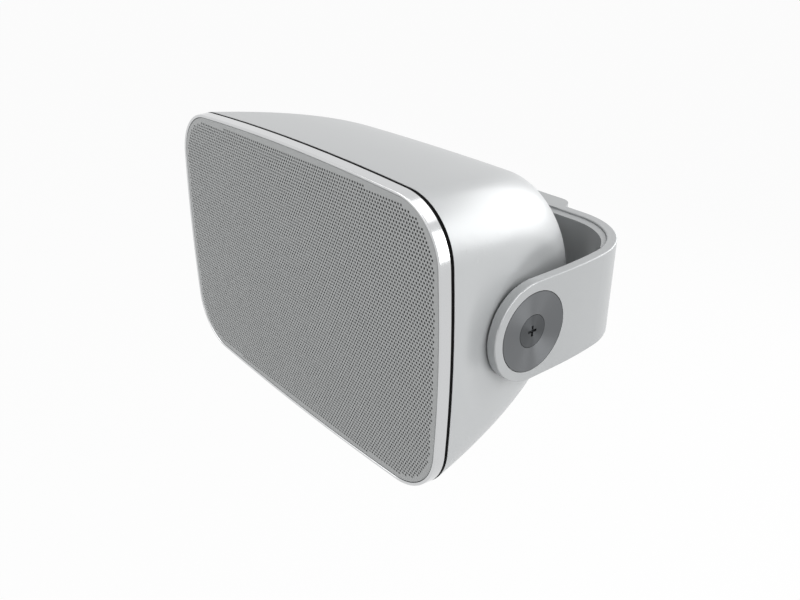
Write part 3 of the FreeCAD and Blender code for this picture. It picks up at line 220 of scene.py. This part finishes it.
# the same cut in steel, darker still, partly because steel is darker and partly as painted shade like the
# disc's
screw_steel = waves(finish("satin steel", "#545658", 0.34, metallic=1.0,
                           grain=0.3, depth=0.001, tone=0.04),
                    RING_SPACING, 0.004, direction="X", rings=True, centre=PIVOT)
for lathe_cut in (turned_metal, screw_steel):
    shader = lathe_cut.node_tree.nodes["Principled BSDF"]
    shader.inputs["Anisotropic"].default_value = 0.9
    shader.inputs["Anisotropic Rotation"].default_value = 0.25
    around = add(lathe_cut.node_tree, "ShaderNodeTangent", direction_type="RADIAL", axis="X")
    lathe_cut.node_tree.links.new(around.outputs["Tangent"], shader.inputs["Tangent"])
print("turned rings every", RING_SPACING, "mm round", [round(c / MM, 1) for c in PIVOT])

# %% [markdown]
# Finishes inside.
# The grille hides what is behind it, but a part of a library may be opened or seen from the back, so
# every inside piece has its real finish too. Each could have a function of its own. They differ only
# in a few numbers, so a table of those reads better. Plastics and rubber are moulded and take a dull
# grain from the mould, plated and turned metals are smooth and bright, ferrite and ceramic are fired
# and stay rough, and the film of the capacitors shines like tape.

# %% Finishes that need no pattern
plain = [
    # slot, name, colour, roughness, metallic, grain, depth, tone
    ("baffle_plastic", "moulded black plastic", "#26272a", 0.5, 0.0, 0.4, 0.02, 0.05),
    ("driver_steel", "black painted steel", "#1c1d1f", 0.4, 0.0, 0.5, 0.012, 0.05),
    ("surround_rubber", "butyl rubber", "#141415", 0.55, 0.0, 0.4, 0.008, 0.08),
    ("cone_plastic", "filled polypropylene", "#2f3033", 0.45, 0.0, 0.8, 0.03, 0.08),
    ("zinc_steel", "zinc plated steel", "#a9abad", 0.32, 1.0, 0.6, 0.006, 0.06),
    ("ferrite", "ferrite", "#2b2a2b", 0.6, 0.0, 0.3, 0.03, 0.12),
    ("dome_metal", "anodised aluminium", "#c7c9cc", 0.3, 1.0, 0.2, 0.002, 0.02),
    ("black_screw", "black zinc plated steel", "#2a2b2d", 0.38, 1.0, 0.4, 0.004, 0.06),
    ("capacitor_film", "wrapped polyester film", "#2c3b63", 0.22, 0.0, 1.5, 0.02, 0.06),
    ("resistor_ceramic", "cast ceramic", "#e6e1d6", 0.7, 0.0, 0.25, 0.03, 0.04),
    ("cup_plastic", "moulded black plastic cup", "#1b1c1e", 0.45, 0.0, 0.35, 0.018, 0.05),
    ("post_brass", "plated brass", "#c8a24f", 0.25, 1.0, 0.3, 0.003, 0.05),
    ("nut_red_plastic", "red moulded plastic", "#b01e22", 0.28, 0.0, 0.5, 0.006, 0.05),
    ("nut_black_plastic", "black moulded plastic", "#151516", 0.28, 0.0, 0.5, 0.006, 0.05),
    ("insert_brass", "machined brass", "#c2a05a", 0.3, 1.0, 0.3, 0.003, 0.05),
    ("washer_plastic", "acetal", "#17181a", 0.4, 0.0, 0.4, 0.005, 0.05),
]
by_slot = {}
for slot, name, colour, roughness, metallic, grain, depth, tone in plain:
    by_slot[slot] = finish(name, colour, roughness, metallic, grain, depth, tone)
print(len(by_slot), "finishes without a pattern")

# %% [markdown]
# Cloth, copper and laminate.
# Woven things are two sets of threads, so two wave textures cross in their bump. The spacing is that
# of the threads: 0.6 mm in acoustic cloth, 0.7 mm in the stiff cloth of the spider, 1.2 mm for the
# glass threads that shine through a circuit board. The turns of a coil are one set only.

# %% Woven and wound finishes


def woven(material, spacing, depth):
    """Cross two sets of threads on a finish, with spacing and depth in millimetres."""
    for direction in ("X", "Z"):
        waves(material, spacing, depth, direction)


# thin open cloth: black with a faint weave
cloth = finish("open acoustic cloth", "#303133", 0.9, grain=0.3, depth=0.03, tone=0.1)
woven(cloth, 0.6, 0.1)
# cotton dipped in resin, which turns it yellow-brown
spider_cloth = finish("resin-stiffened cloth", "#c9a25a", 0.8, grain=0.4, depth=0.03, tone=0.08)
woven(spider_cloth, 0.7, 0.08)
# green lacquer over glass cloth, which shines through it
laminate = finish("glass-fibre laminate", "#2f5a3a", 0.35, grain=0.3, depth=0.004, tone=0.06)
woven(laminate, 1.2, 0.01)
# lacquer keeps the wire shiny, and its turns break the highlight into lines
copper = finish("lacquered copper wire", "#b8693a", 0.28, metallic=1.0, grain=0.5, depth=0.002)
waves(copper, 0.5, 0.12, "Y")
print("woven:", cloth.name, "/", spider_cloth.name, "/", laminate.name)

# %% One finish for every slot of the record
by_slot.update({
    "body_paint": painted_cabinet, "bracket_paint": painted_bracket, "cover_plastic": cover_paint_darkened_as_shade,
    "trim_metal": bright_trim, "grille_steel": coated_steel, "disc_metal": turned_metal,
    "screw_steel": screw_steel, "black_foam": black_foam, "black_cloth": cloth, "spider_cloth": spider_cloth,
    "coil_copper": copper, "board_laminate": laminate,
})
for part in frame["record"]["subparts"]:
    nodes[part["node"]].material_slots[0].material = by_slot[part["material_slot"]]
print(len(by_slot), "finishes on", len(nodes), "solids")

# %% [markdown]
# From bmesh to piece.
# Each new piece is shaped as a bmesh in the speaker's own coordinates, so its object can stay at the
# origin, as every solid does. It rides on a body, so that it moves with the joint, and it says which
# solid it stands for. That solid is hidden, and still does its work in the physics model.

# %% A bmesh becomes a piece


def new_piece(name, mesh, material, body, slot, *stands_for):
    """Turn a bmesh into a piece of the speaker that rides on a body."""
    data = bpy.data.meshes.new(name)
    mesh.to_mesh(data)
    mesh.free()
    data.validate()
    piece = bpy.data.objects.new(name, data)
    bpy.context.scene.collection.objects.link(piece)
    data.materials.append(material)
    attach(piece, body)
    if stands_for:
        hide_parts(*stands_for)
    print(name, "has", len(data.polygons), "faces and rides on", body)
    return piece


# %% [markdown]
# The cabinet's skin.
# The moulded cabinet is one fair curve from its mouth to its flat rear panel, and satin paint shows
# every wave in it. The solid is lofted through a few stations, so its corners wave a little between
# them. A new shell could be modelled from nothing, but it would need every hole, boss and wall again.
# So a merged copy of the solid keeps all of these, and only its outer walls are drawn fair.
# Five control values of a Bezier curve give each measure of a section from mouth to rear panel: how
# deep it lies, how far its side and its top are drawn in, and the radius of its corner.

# %% Measures of the fair skin, from the mouth to the rear panel
FRONT_Y = cad_low.y
FRONT_SIZE = Vector((290.0, 191.0)) * MM
# control values in millimetres
SKIN_DEPTH = (9.3, 53.5, 133.5, 150.0, 150.0)
SIDE_DRAWN_IN = (-0.5, 5.1, 18.0, 32.7, 51.6)
TOP_DRAWN_IN = (-0.5, 5.6, 18.5, 34.4, 57.6)
CORNER_RADIUS = (37.3, 38.3, 43.6, 68.6, 46.4)
# how far the sides and the top bow out at the mouth, and the share of it that is lost at the rear
SIDE_BOW = 5.7 * MM
TOP_BOW = 5.0 * MM
BOW_LOST = 0.75
MOUTH = SKIN_DEPTH[0] * MM
REAR = SKIN_DEPTH[-1] * MM
print("skin from", round(MOUTH / MM, 1), "to", round(REAR / MM, 1), "mm behind the front")

# %% A section of the skin


def bezier(values, share):
    """Value of the curve with these control values, in metres, at a share of its run."""
    last = len(values) - 1
    weights = [math.comb(last, k) * (1 - share) ** (last - k) * share ** k for k in range(last + 1)]
    return MM * sum(weight * value for weight, value in zip(weights, values))


def section(share):
    """Depth of a section, and three arcs of its quarter: end angle, centre and radius of each."""
    depth = bezier(SKIN_DEPTH, share)
    half_width = FRONT_SIZE.x / 2 - bezier(SIDE_DRAWN_IN, share)
    half_height = FRONT_SIZE.y / 2 - bezier(TOP_DRAWN_IN, share)
    bend = bezier(CORNER_RADIUS, share)
    keep = 1 - BOW_LOST * (depth - MOUTH) / (REAR - MOUTH)
    # a chord and its bow give the radius of the large arcs at the side and the top
    side_bend = SIDE_BOW * keep / 2 + half_height ** 2 / (2 * SIDE_BOW * keep)
    top_bend = TOP_BOW * keep / 2 + half_width ** 2 / (2 * TOP_BOW * keep)
    side = Vector((half_width - side_bend, 0))
    top = Vector((0, half_height - top_bend))
    # the corner's arc touches both from inside, so two circles cross at its centre
    apart = (side - top).length
    along = ((top_bend - bend) ** 2 - (side_bend - bend) ** 2 + apart ** 2) / (2 * apart)
    off = math.sqrt((top_bend - bend) ** 2 - along ** 2)
    line = (side - top) / apart
    corner = max((top + line * along + Vector((-line.y, line.x)) * sign * off for sign in (1, -1)), key=sum)
    side_end = side + (corner - side).normalized() * side_bend
    corner_end = top + (corner - top).normalized() * top_bend
    return depth, [(math.atan2(side_end.y, side_end.x), side, side_bend),
                   (math.atan2(corner_end.y, corner_end.x), corner, bend), (math.pi, top, top_bend)]


SECTION_STEPS = 400
SECTIONS = [section(step / SECTION_STEPS) for step in range(SECTION_STEPS + 1)]
DEPTHS = [made[0] for made in SECTIONS]
print(len(SECTIONS), "sections, the first with a corner radius of", round(SECTIONS[0][1][1][2] / MM, 1), "mm")

# %% [markdown]
# The move of a point needs one number: how far the fair skin reaches from the middle line, at a depth
# and in a direction. A direction meets one of the three arcs of a section, and a line from the middle
# cuts that arc's circle where the square root says. Between two sections the reach is blended.

# %% The reach of the skin


def reach_of(arcs, toward):
    """How far a section reaches from its middle in a direction of its plane."""
    angle = math.atan2(toward.y, toward.x)
    ends, middle, bend = next(arc for arc in arcs if angle <= arc[0])
    across = middle.dot(toward)
    return across + math.sqrt(across ** 2 - middle.length_squared + bend ** 2)


def fair_reach(depth, out):
    """Reach of the fair skin at a depth, between the two sections round it."""
    after = min(max(bisect.bisect(DEPTHS, depth), 1), len(DEPTHS) - 1)
    share = (depth - DEPTHS[after - 1]) / max(DEPTHS[after] - DEPTHS[after - 1], 1e-9)
    toward = Vector((abs(out.x), abs(out.z)))
    reach_before = reach_of(SECTIONS[after - 1][1], toward)
    return (1 - share) * reach_before + share * reach_of(SECTIONS[after][1], toward)


print("reach to the side at the mouth:", round(fair_reach(MOUTH, Vector((1, 0, 0))) / MM, 1), "mm")

# %% [markdown]
# A flat stretch of the solid is a few long triangles, and these can't bend. So the copy is merged, and
# three times over every edge longer than 4 mm is halved. A tree of the old skin is kept for the rays.
# A Remesh modifier would give small faces too, but it would round off the holes and bosses.

# %% A merged copy of the cabinet, with its long edges divided
MERGED = 1e-6
LONGEST = 4.0 * MM
DIVISIONS = 3
skin = bmesh.new()
skin.from_mesh(nodes["cabinet"].data)
bmesh.ops.remove_doubles(skin, verts=skin.verts, dist=MERGED)
bmesh.ops.dissolve_degenerate(skin, dist=2 * MERGED, edges=skin.edges)
outer = BVHTree.FromBMesh(skin)
for _ in range(DIVISIONS):
    long_edges = [e for e in skin.edges if e.calc_length() > LONGEST]
    bmesh.ops.subdivide_edges(skin, edges=long_edges, cuts=1)
    bmesh.ops.triangulate(skin, faces=[f for f in skin.faces if len(f.verts) > 3])
print("divided copy:", len(skin.faces), "triangles")

# %% [markdown]
# Each point of the copy is moved straight out from the cabinet's middle line. A ray from outside finds
# where the old skin is in that direction, the section says where the fair one is, and the point moves
# by the difference. Points deep inside stay, and so do those round each pivot, where the leg lies
# close on the cabinet. Between these and the free skin the move fades in.

# %% How far a point moves
# the middle line sits lower than the pivots at the mouth, and level with them at the rear
MIDDLE_DROP = 3.3 * MM
# nothing moves under the round end of a leg, and the move fades in over the next stretch
LEG_END = 33.0 * MM
LEG_FADE = 27.0 * MM
# points nearer to the middle than the first share of the skin's reach stay, past the second they follow
SKIN_FROM = 0.8
SKIN_FULL = 0.9
# rays start this far from the middle line, which is well outside the cabinet
OUTSIDE = 400.0 * MM
# two rays a few thousandths of a millimetre apart, as one may slip through a seam
SEAM_STEPS = (-2e-6, 3e-6)
MOUTH_LIP = 0.1 * MM
NEAR_MIDDLE = 1.0 * MM
# the rear panel is flat, so its points are moved as those just in front of it
LAST_DEPTH = REAR - 0.02 * MM


def fair_move(place):
    """Direction and length of the move that puts a point of the cabinet on the fair skin."""
    depth = min(place.y - FRONT_Y, LAST_DEPTH)
    core = Vector((0, depth + FRONT_Y, MIDDLE_DROP * ((depth - MOUTH) / (REAR - MOUTH) - 1)))
    out = Vector((place.x, 0, place.z - core.z))
    old = out.length
    if depth < MOUTH + MOUTH_LIP or old < NEAR_MIDDLE:
        return out, 0.0
    out /= old
    starts = [core + out * OUTSIDE + Vector((0, aside, aside)) for aside in SEAM_STEPS]
    hits = [outer.ray_cast(start, -out)[0] for start in starts]
    old_reach = max([(hit - core).length for hit in hits if hit], default=old)
    from_pivot = math.hypot(place.y - PIVOT[1], place.z)
    free = min(max((from_pivot - LEG_END) / LEG_FADE, 0), 1)
    free *= free * (3 - 2 * free)
    near_skin = min(max((old / old_reach - SKIN_FROM) / (SKIN_FULL - SKIN_FROM), 0), 1)
    return out, (fair_reach(depth, out) - old_reach) * free * near_skin


shifts = []
for point in skin.verts:
    out, shift = fair_move(point.co)
    point.co += out * shift
    shifts.append(shift)
print("skin moved by", round(min(shifts) / MM, 2), "to", round(max(shifts) / MM, 2), "mm")

# %% The cabinet's shell
SLIVER = 0.02 * MM
SHARP_FROM = math.radians(32)
bmesh.ops.dissolve_degenerate(skin, dist=SLIVER, edges=skin.edges)
# where walls meet at more than 32 degrees the edge stays sharp, and all else shades smoothly
for face in skin.faces:
    face.smooth = True
for edge in skin.edges:
    edge.smooth = len(edge.link_faces) == 2 and edge.calc_face_angle(0) < SHARP_FROM
new_piece("cabinet_shell", skin, painted_cabinet, "cabinet", "body_paint", "cabinet")

# %% [markdown]
# The gasket.
# Foam that is squeezed between trim ring and cabinet swells outward, so from the side the joint is a
# solid black line and not a groove. Blacker foam alone doesn't give that line, because the walls of
# the groove stay silver. So a copy of the ring is made a little larger and fills it.

# %% The swollen gasket
SWELL = 1.5 * MM
gasket = bmesh.new()
gasket.from_mesh(nodes["cabinet_gasket"].data)
bmesh.ops.remove_doubles(gasket, verts=gasket.verts, dist=MERGED)
ring_low, ring_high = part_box("cabinet_gasket")
ring_middle = (ring_low + ring_high) / 2
ring_size = ring_high - ring_low
bmesh.ops.scale(gasket, verts=gasket.verts, vec=(1 + 2 * SWELL / ring_size.x, 1, 1 + 2 * SWELL / ring_size.z),
                space=Matrix.Translation(-ring_middle))
new_piece("swollen_gasket", gasket, black_foam, "cabinet", "black_foam", "cabinet_gasket")
print("gasket is now", round((ring_size.x + 2 * SWELL) / MM, 1), "mm wide")

# %% [markdown]
# The grille.
# The real grille is a steel sheet with thousands of punched holes in staggered rows, folded back at
# its edge. The solid has only about a hundred large openings, so this sheet stands for it. Transparent dots
# in a material would be quick, but the exported model loses them, and they have no depth. A Boolean
# could cut the holes, but thousands of them would take minutes. So one tile is made: the six walls of
# a hole, three strips to its neighbours and two small triangles between them. It is doubled again and
# again until it covers the front, and then trimmed to the outline.

# %% One tile of the perforated sheet
# the real pitch is about 2.36 mm, and this one is a little wider, which keeps the sheet's triangles fewer;
# this one keeps the sheet under the limit on triangles
HOLE_PITCH = 2.43 * MM
HOLE_RADIUS = 0.85 * MM
SHEET = 0.8 * MM
ROW_STEP = HOLE_PITCH * math.sin(math.radians(60))


def points_in(made):
    """The points among what an operator made."""
    return [part for part in made if isinstance(part, bmesh.types.BMVert)]


def heading(turn):
    """Direction in the plane of the front, at an angle in degrees."""
    return Vector((math.cos(math.radians(turn)), 0, math.sin(math.radians(turn))))


def make_tile():
    """Walls of one hole and its share of the sheet, with the hole in the middle and the face at y = 0."""
    tile = bmesh.new()
    hole = bmesh.ops.create_circle(tile, segments=6, radius=HOLE_RADIUS)["verts"]
    bmesh.ops.rotate(tile, verts=hole, matrix=Matrix.Rotation(math.radians(90), 3, "X"))
    rim = list(tile.edges)
    walls = bmesh.ops.extrude_edge_only(tile, edges=rim)["geom"]
    bmesh.ops.translate(tile, verts=points_in(walls), vec=(0, SHEET, 0))
    reach = HOLE_PITCH - 2 * HOLE_RADIUS * math.cos(math.radians(30))
    for turn in (0, 60, 120):
        out = heading(turn)
        side = max(rim, key=lambda e: ((e.verts[0].co + e.verts[1].co) / 2).dot(out))
        strip = bmesh.ops.extrude_edge_only(tile, edges=[side])["geom"]
        bmesh.ops.translate(tile, verts=points_in(strip), vec=out * reach)
    bmesh.ops.remove_doubles(tile, verts=tile.verts, dist=1e-7)
    for turn in (30, 90):
        middle = heading(turn) * HOLE_PITCH / math.sqrt(3)
        on_face = [v for v in tile.verts if abs(v.co.y) < 1e-9]
        nearest = sorted(on_face, key=lambda v: (v.co - middle).length)[:3]
        bmesh.ops.contextual_create(tile, geom=nearest)
    return tile


sheet = make_tile()
print("one tile has", len(sheet.faces), "faces")

# %% [markdown]
# An Array modifier would repeat the tile as well, but it can't leave out the tiles past the edge. Here
# every doubling copies what is there and moves the copy by as many steps. Two number layers on the
# faces remember where the middle of each tile is, so that whole tiles can be taken away later.

# %% Cover the front with tiles
front_low, front_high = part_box("grille")
front_middle = (front_low + front_high) / 2
half_x = (front_high.x - front_low.x) / 2
half_z = (front_high.z - front_low.z) / 2
layer_x = sheet.faces.layers.float.new("tile_x")
layer_z = sheet.faces.layers.float.new("tile_z")


def copy_by(mesh, step_x, step_z):
    """Copy everything in the mesh and move the copy."""
    made = bmesh.ops.duplicate(mesh, geom=mesh.verts[:] + mesh.edges[:] + mesh.faces[:])["geom"]
    bmesh.ops.translate(mesh, verts=points_in(made), vec=(step_x, 0, step_z))
    for face in made:
        if isinstance(face, bmesh.types.BMFace):
            face[layer_x] += step_x
            face[layer_z] += step_z


columns = 1
while columns * HOLE_PITCH < 2 * half_x:
    copy_by(sheet, columns * HOLE_PITCH, 0)
    columns *= 2
too_far = [f for f in sheet.faces if f[layer_x] > 2 * half_x]
bmesh.ops.delete(sheet, geom=too_far, context="FACES")
copy_by(sheet, HOLE_PITCH / 2, ROW_STEP)
rows = 2
while rows * ROW_STEP < 2 * half_z:
    copy_by(sheet, 0, rows * ROW_STEP)
    rows *= 2
print(len(sheet.faces), "faces before trimming")

# %% [markdown]
# The folded edge comes from the solid itself: a merged copy of it keeps only its skirt. The loop at
# the front of that skirt is the outline that the tiles are trimmed to. Marks along it let a search
# tree tell quickly how far a hole is from the edge.

# %% The folded skirt and the outline of the front
MARKS = 10
ON_FRONT = 1e-5
front_y = front_low.y
rim = bmesh.new()
rim.from_mesh(nodes["grille"].data)
bmesh.ops.remove_doubles(rim, verts=rim.verts, dist=MERGED)
# faces that all lie within little more than the sheet's thickness of the front are its flat part
flat_part = [f for f in rim.faces if max(v.co.y for v in f.verts) < front_y + 1.2 * SHEET]
bmesh.ops.delete(rim, geom=flat_part, context="FACES")


def open_edges(mesh):
    """Open edges of a mesh that lie in the front."""
    return [e for e in mesh.edges if e.is_boundary and all(abs(v.co.y - front_y) < ON_FRONT for v in e.verts)]


bmesh.ops.subdivide_edges(rim, edges=open_edges(rim), cuts=3)
outline = open_edges(rim)
print(len(outline), "edges in the outline")
edge_points = list({v for e in outline for v in e.verts})
marks = [e.verts[0].co.lerp(e.verts[1].co, k / MARKS) for e in outline for k in range(MARKS)]
finder = kdtree.KDTree(len(marks))
for k, mark in enumerate(marks):
    finder.insert(mark - front_middle, k)
finder.balance()


def keeps_clear(x, z, margin):
    """True if a point of the front lies inside the outline by at least a margin."""
    point = Vector((x, front_y - front_middle.y, z))
    nearest, _, distance = finder.find(point)
    return distance > margin and nearest.dot(nearest - point) > 0


# %% [markdown]
# Bent sheet has a soft edge and never a sharp one. The outline is moved back by the radius of the bend
# and extruded in a few steps, each a little further forward and inward, until it is in the front again.

# %% The rolled edge
BEND_RADIUS = 0.7 * MM
BEND_STEPS = 4
loop = outline
bmesh.ops.translate(rim, verts=edge_points, vec=(0, BEND_RADIUS, 0))
for step in range(1, BEND_STEPS + 1):
    angle = math.radians(90 * step / BEND_STEPS)
    last = math.radians(90 * (step - 1) / BEND_STEPS)
    made = bmesh.ops.extrude_edge_only(rim, edges=loop)["geom"]
    moved = points_in(made)
    loop = [e for e in made if isinstance(e, bmesh.types.BMEdge)]
    inward = BEND_RADIUS * (math.cos(last) - math.cos(angle))
    bmesh.ops.translate(rim, verts=moved, vec=(0, -BEND_RADIUS * (math.sin(angle) - math.sin(last)), 0))
    shrink = (1 - inward / half_x, 1, 1 - inward / half_z)
    bmesh.ops.scale(rim, verts=moved, vec=shrink, space=Matrix.Translation(-front_middle))
print("edge rolled to", round(BEND_RADIUS / MM, 1), "mm in", BEND_STEPS, "steps")

# %% [markdown]
# The punch stops short of the fold, so a plain rim runs round the field of holes. Only tiles whose
# hole is well inside the outline stay. What is left open between their ragged edge and the rolled one
# is filled with triangles, and all of it is flat, so the filling doesn't show.

# %% The perforated grille, trimmed and joined to its edge
PLAIN_RIM = 2.6 * MM
corner = Vector((-round(half_x / HOLE_PITCH) * HOLE_PITCH, 0, -round(half_z / ROW_STEP) * ROW_STEP))
outside = [f for f in sheet.faces if not keeps_clear(f[layer_x] + corner.x, f[layer_z] + corner.z,
                                                     PLAIN_RIM + HOLE_RADIUS)]
bmesh.ops.delete(sheet, geom=outside, context="FACES")
# tiles still have points of their own where they meet, and these are merged here
bmesh.ops.remove_doubles(sheet, verts=sheet.verts, dist=0.01 * MM)
bmesh.ops.translate(sheet, verts=sheet.verts, vec=corner + Vector((front_middle.x, front_y, front_middle.z)))
print(len(sheet.faces), "faces in the perforated field")
holding = bpy.data.meshes.new("holding")
rim.to_mesh(holding)
sheet.from_mesh(holding)
bpy.data.meshes.remove(holding)
gap = open_edges(sheet)
filled = bmesh.ops.triangle_fill(sheet, use_beauty=True, edges=gap, normal=(0, -1, 0))
print(len(gap), "edges round the plain rim,", len(filled["geom"]), "parts made to fill it")
bmesh.ops.recalc_face_normals(sheet, faces=sheet.faces)
grille = new_piece("perforated_grille", sheet, coated_steel, "cabinet", "grille_steel", "grille")
triangles = sum(len(face.vertices) - 2 for face in grille.data.polygons)
print("grille:", triangles, "triangles")

# %% [markdown]
# A white background that gives no light.
# A product photograph has a white background, but a room that bright would wash the speaker out. So
# the room and the floor are white only for rays that come from the camera, or from a shiny or clear
# surface, and give plain soft light to all else. The floor is far below, as the speaker hangs on a
# wall. It shows nearly white and still keeps a faint shadow.

# %% What the lens and the metal see


def seen_directly(tree):
    """1 for a ray from the camera or one that a shiny or clear surface sends on, and 0 for soft light."""
    ray = add(tree, "ShaderNodeLightPath").outputs
    seen = ray["Is Camera Ray"]
    for kind in ("Is Glossy Ray", "Is Transmission Ray"):
        seen = add(tree, "ShaderNodeMath", None, {0: seen, 1: ray[kind]}, operation="MAXIMUM").outputs[0]
    return seen


print("white for camera, glossy and transmission rays")

# %% Floor
FLOOR_DROP = 450.0 * MM
WHITE_SHARE = 0.95
floor_mesh = bmesh.new()
bmesh.ops.create_grid(floor_mesh, x_segments=1, y_segments=1, size=12)
bmesh.ops.translate(floor_mesh, verts=floor_mesh.verts, vec=(0, 0, cad_low.z - FLOOR_DROP))
floor_data = bpy.data.meshes.new("floor")
floor_mesh.to_mesh(floor_data)
floor = bpy.data.objects.new("floor", floor_data)
bpy.context.scene.collection.objects.link(floor)
pale = bpy.data.materials.new("pale studio floor")
pale.use_nodes = True
tree = pale.node_tree
tree.nodes["Principled BSDF"].inputs["Base Color"].default_value = linear("#e8e8e8")
tree.nodes["Principled BSDF"].inputs["Roughness"].default_value = 0.8
seen = seen_directly(tree)
glow = add(tree, "ShaderNodeEmission", {"Color": (1, 1, 1, 1), "Strength": 1.0})
share = add(tree, "ShaderNodeMath", {1: WHITE_SHARE}, {0: seen}, operation="MULTIPLY")
matt = tree.nodes["Principled BSDF"].outputs[0]
blend = add(tree, "ShaderNodeMixShader", None, {0: share.outputs[0], 1: matt, 2: glow.outputs[0]})
tree.links.new(blend.outputs[0], tree.nodes["Material Output"].inputs["Surface"])
floor_data.materials.append(pale)
print("floor", round(FLOOR_DROP / MM), "mm below the speaker")

# %% World
ROOM_LIGHT = 0.36
scene = bpy.context.scene
scene.view_settings.view_transform = "Standard"
world = bpy.data.worlds.new("studio")
world.use_nodes = True
scene.world = world
room = world.node_tree
room_light = room.nodes["Background"]
room_light.inputs["Color"].default_value = (1, 1, 1, 1)
room_light.inputs["Strength"].default_value = ROOM_LIGHT
white_wall = add(room, "ShaderNodeBackground", {"Color": (1, 1, 1, 1), "Strength": 1.0})
choose = add(room, "ShaderNodeMixShader", None, {0: seen_directly(room), 1: room_light.outputs[0],
                                                 2: white_wall.outputs[0]})
room.links.new(choose.outputs[0], room.nodes["World Output"].inputs["Surface"])
print("room light at strength", ROOM_LIGHT)

# %% [markdown]
# Four soft lamps.
# Large soft lamps give satin paint its broad highlights and don't burn them out. The one behind the
# speaker stands where its mirror image falls on the rounded upper corner, which gives the long bright
# highlight there. The others stand above, to the right and in front, and fill the sides.

# %% Lamps


def lamp(name, place, aim, width, height, watts):
    """A soft rectangular lamp that points at a spot."""
    data = bpy.data.lights.new(name, "AREA")
    data.shape = "RECTANGLE"
    data.size = width
    data.size_y = height
    data.energy = watts
    made = bpy.data.objects.new(name, data)
    scene.collection.objects.link(made)
    back = (Vector(place) - Vector(aim)).normalized()
    made.matrix_world = Matrix.Translation(place) @ back.to_track_quat("Z", "Y").to_matrix().to_4x4()
    print(name, "gives", watts, "W")


middle = (cad_low + cad_high) / 2
lamp("top_lamp", (0.1, 0.2, 1.2), middle, 0.9, 0.9, 3)
lamp("right_softbox", (1.25, 0.0, 0.5), middle, 1.2, 1.0, 13)
lamp("rear_softbox", (0.25, 1.15, 0.42), middle, 1.4, 0.8, 9.5)
lamp("front_lamp", (-0.6, -1.4, 0.6), middle, 1.0, 1.0, 6)

# %% [markdown]
# Camera.
# The camera stands where the photographer did: to the right of the front and above it, about 60 cm
# away. Its place and lens were found by fitting the edges of the front and of the bracket. Blender's
# track-to constraint could aim it, but the photograph is turned by a third of a degree, so the three
# axes of the camera are worked out and written to its matrix.

# %% Camera
AZIMUTH, ELEVATION, ROLL = (math.radians(angle) for angle in (50.4, 25.84, 0.36))
FOCAL_PIXELS = 831.0
PICTURE_WIDTH = 800
SENSOR = 36.0
camera_place = Vector((427.7, -455.8, 227.3)) * MM
away = Vector((math.sin(AZIMUTH) * math.cos(ELEVATION), -math.cos(AZIMUTH) * math.cos(ELEVATION),
               math.sin(ELEVATION)))
level = (-away).cross(Vector((0, 0, 1))).normalized()
upward = level.cross(-away)
turned_right = level * math.cos(ROLL) + upward * math.sin(ROLL)
turned_up = upward * math.cos(ROLL) - level * math.sin(ROLL)
camera = bpy.data.objects.new("camera", bpy.data.cameras.new("camera"))
scene.collection.objects.link(camera)
camera.data.sensor_width = SENSOR
camera.data.lens = FOCAL_PIXELS / PICTURE_WIDTH * SENSOR
camera.data.clip_start = 0.01
turned = Matrix((turned_right, turned_up, away)).transposed().to_4x4()
camera.matrix_world = Matrix.Translation(camera_place) @ turned
scene.camera = camera
print("lens:", round(camera.data.lens, 1), "mm")
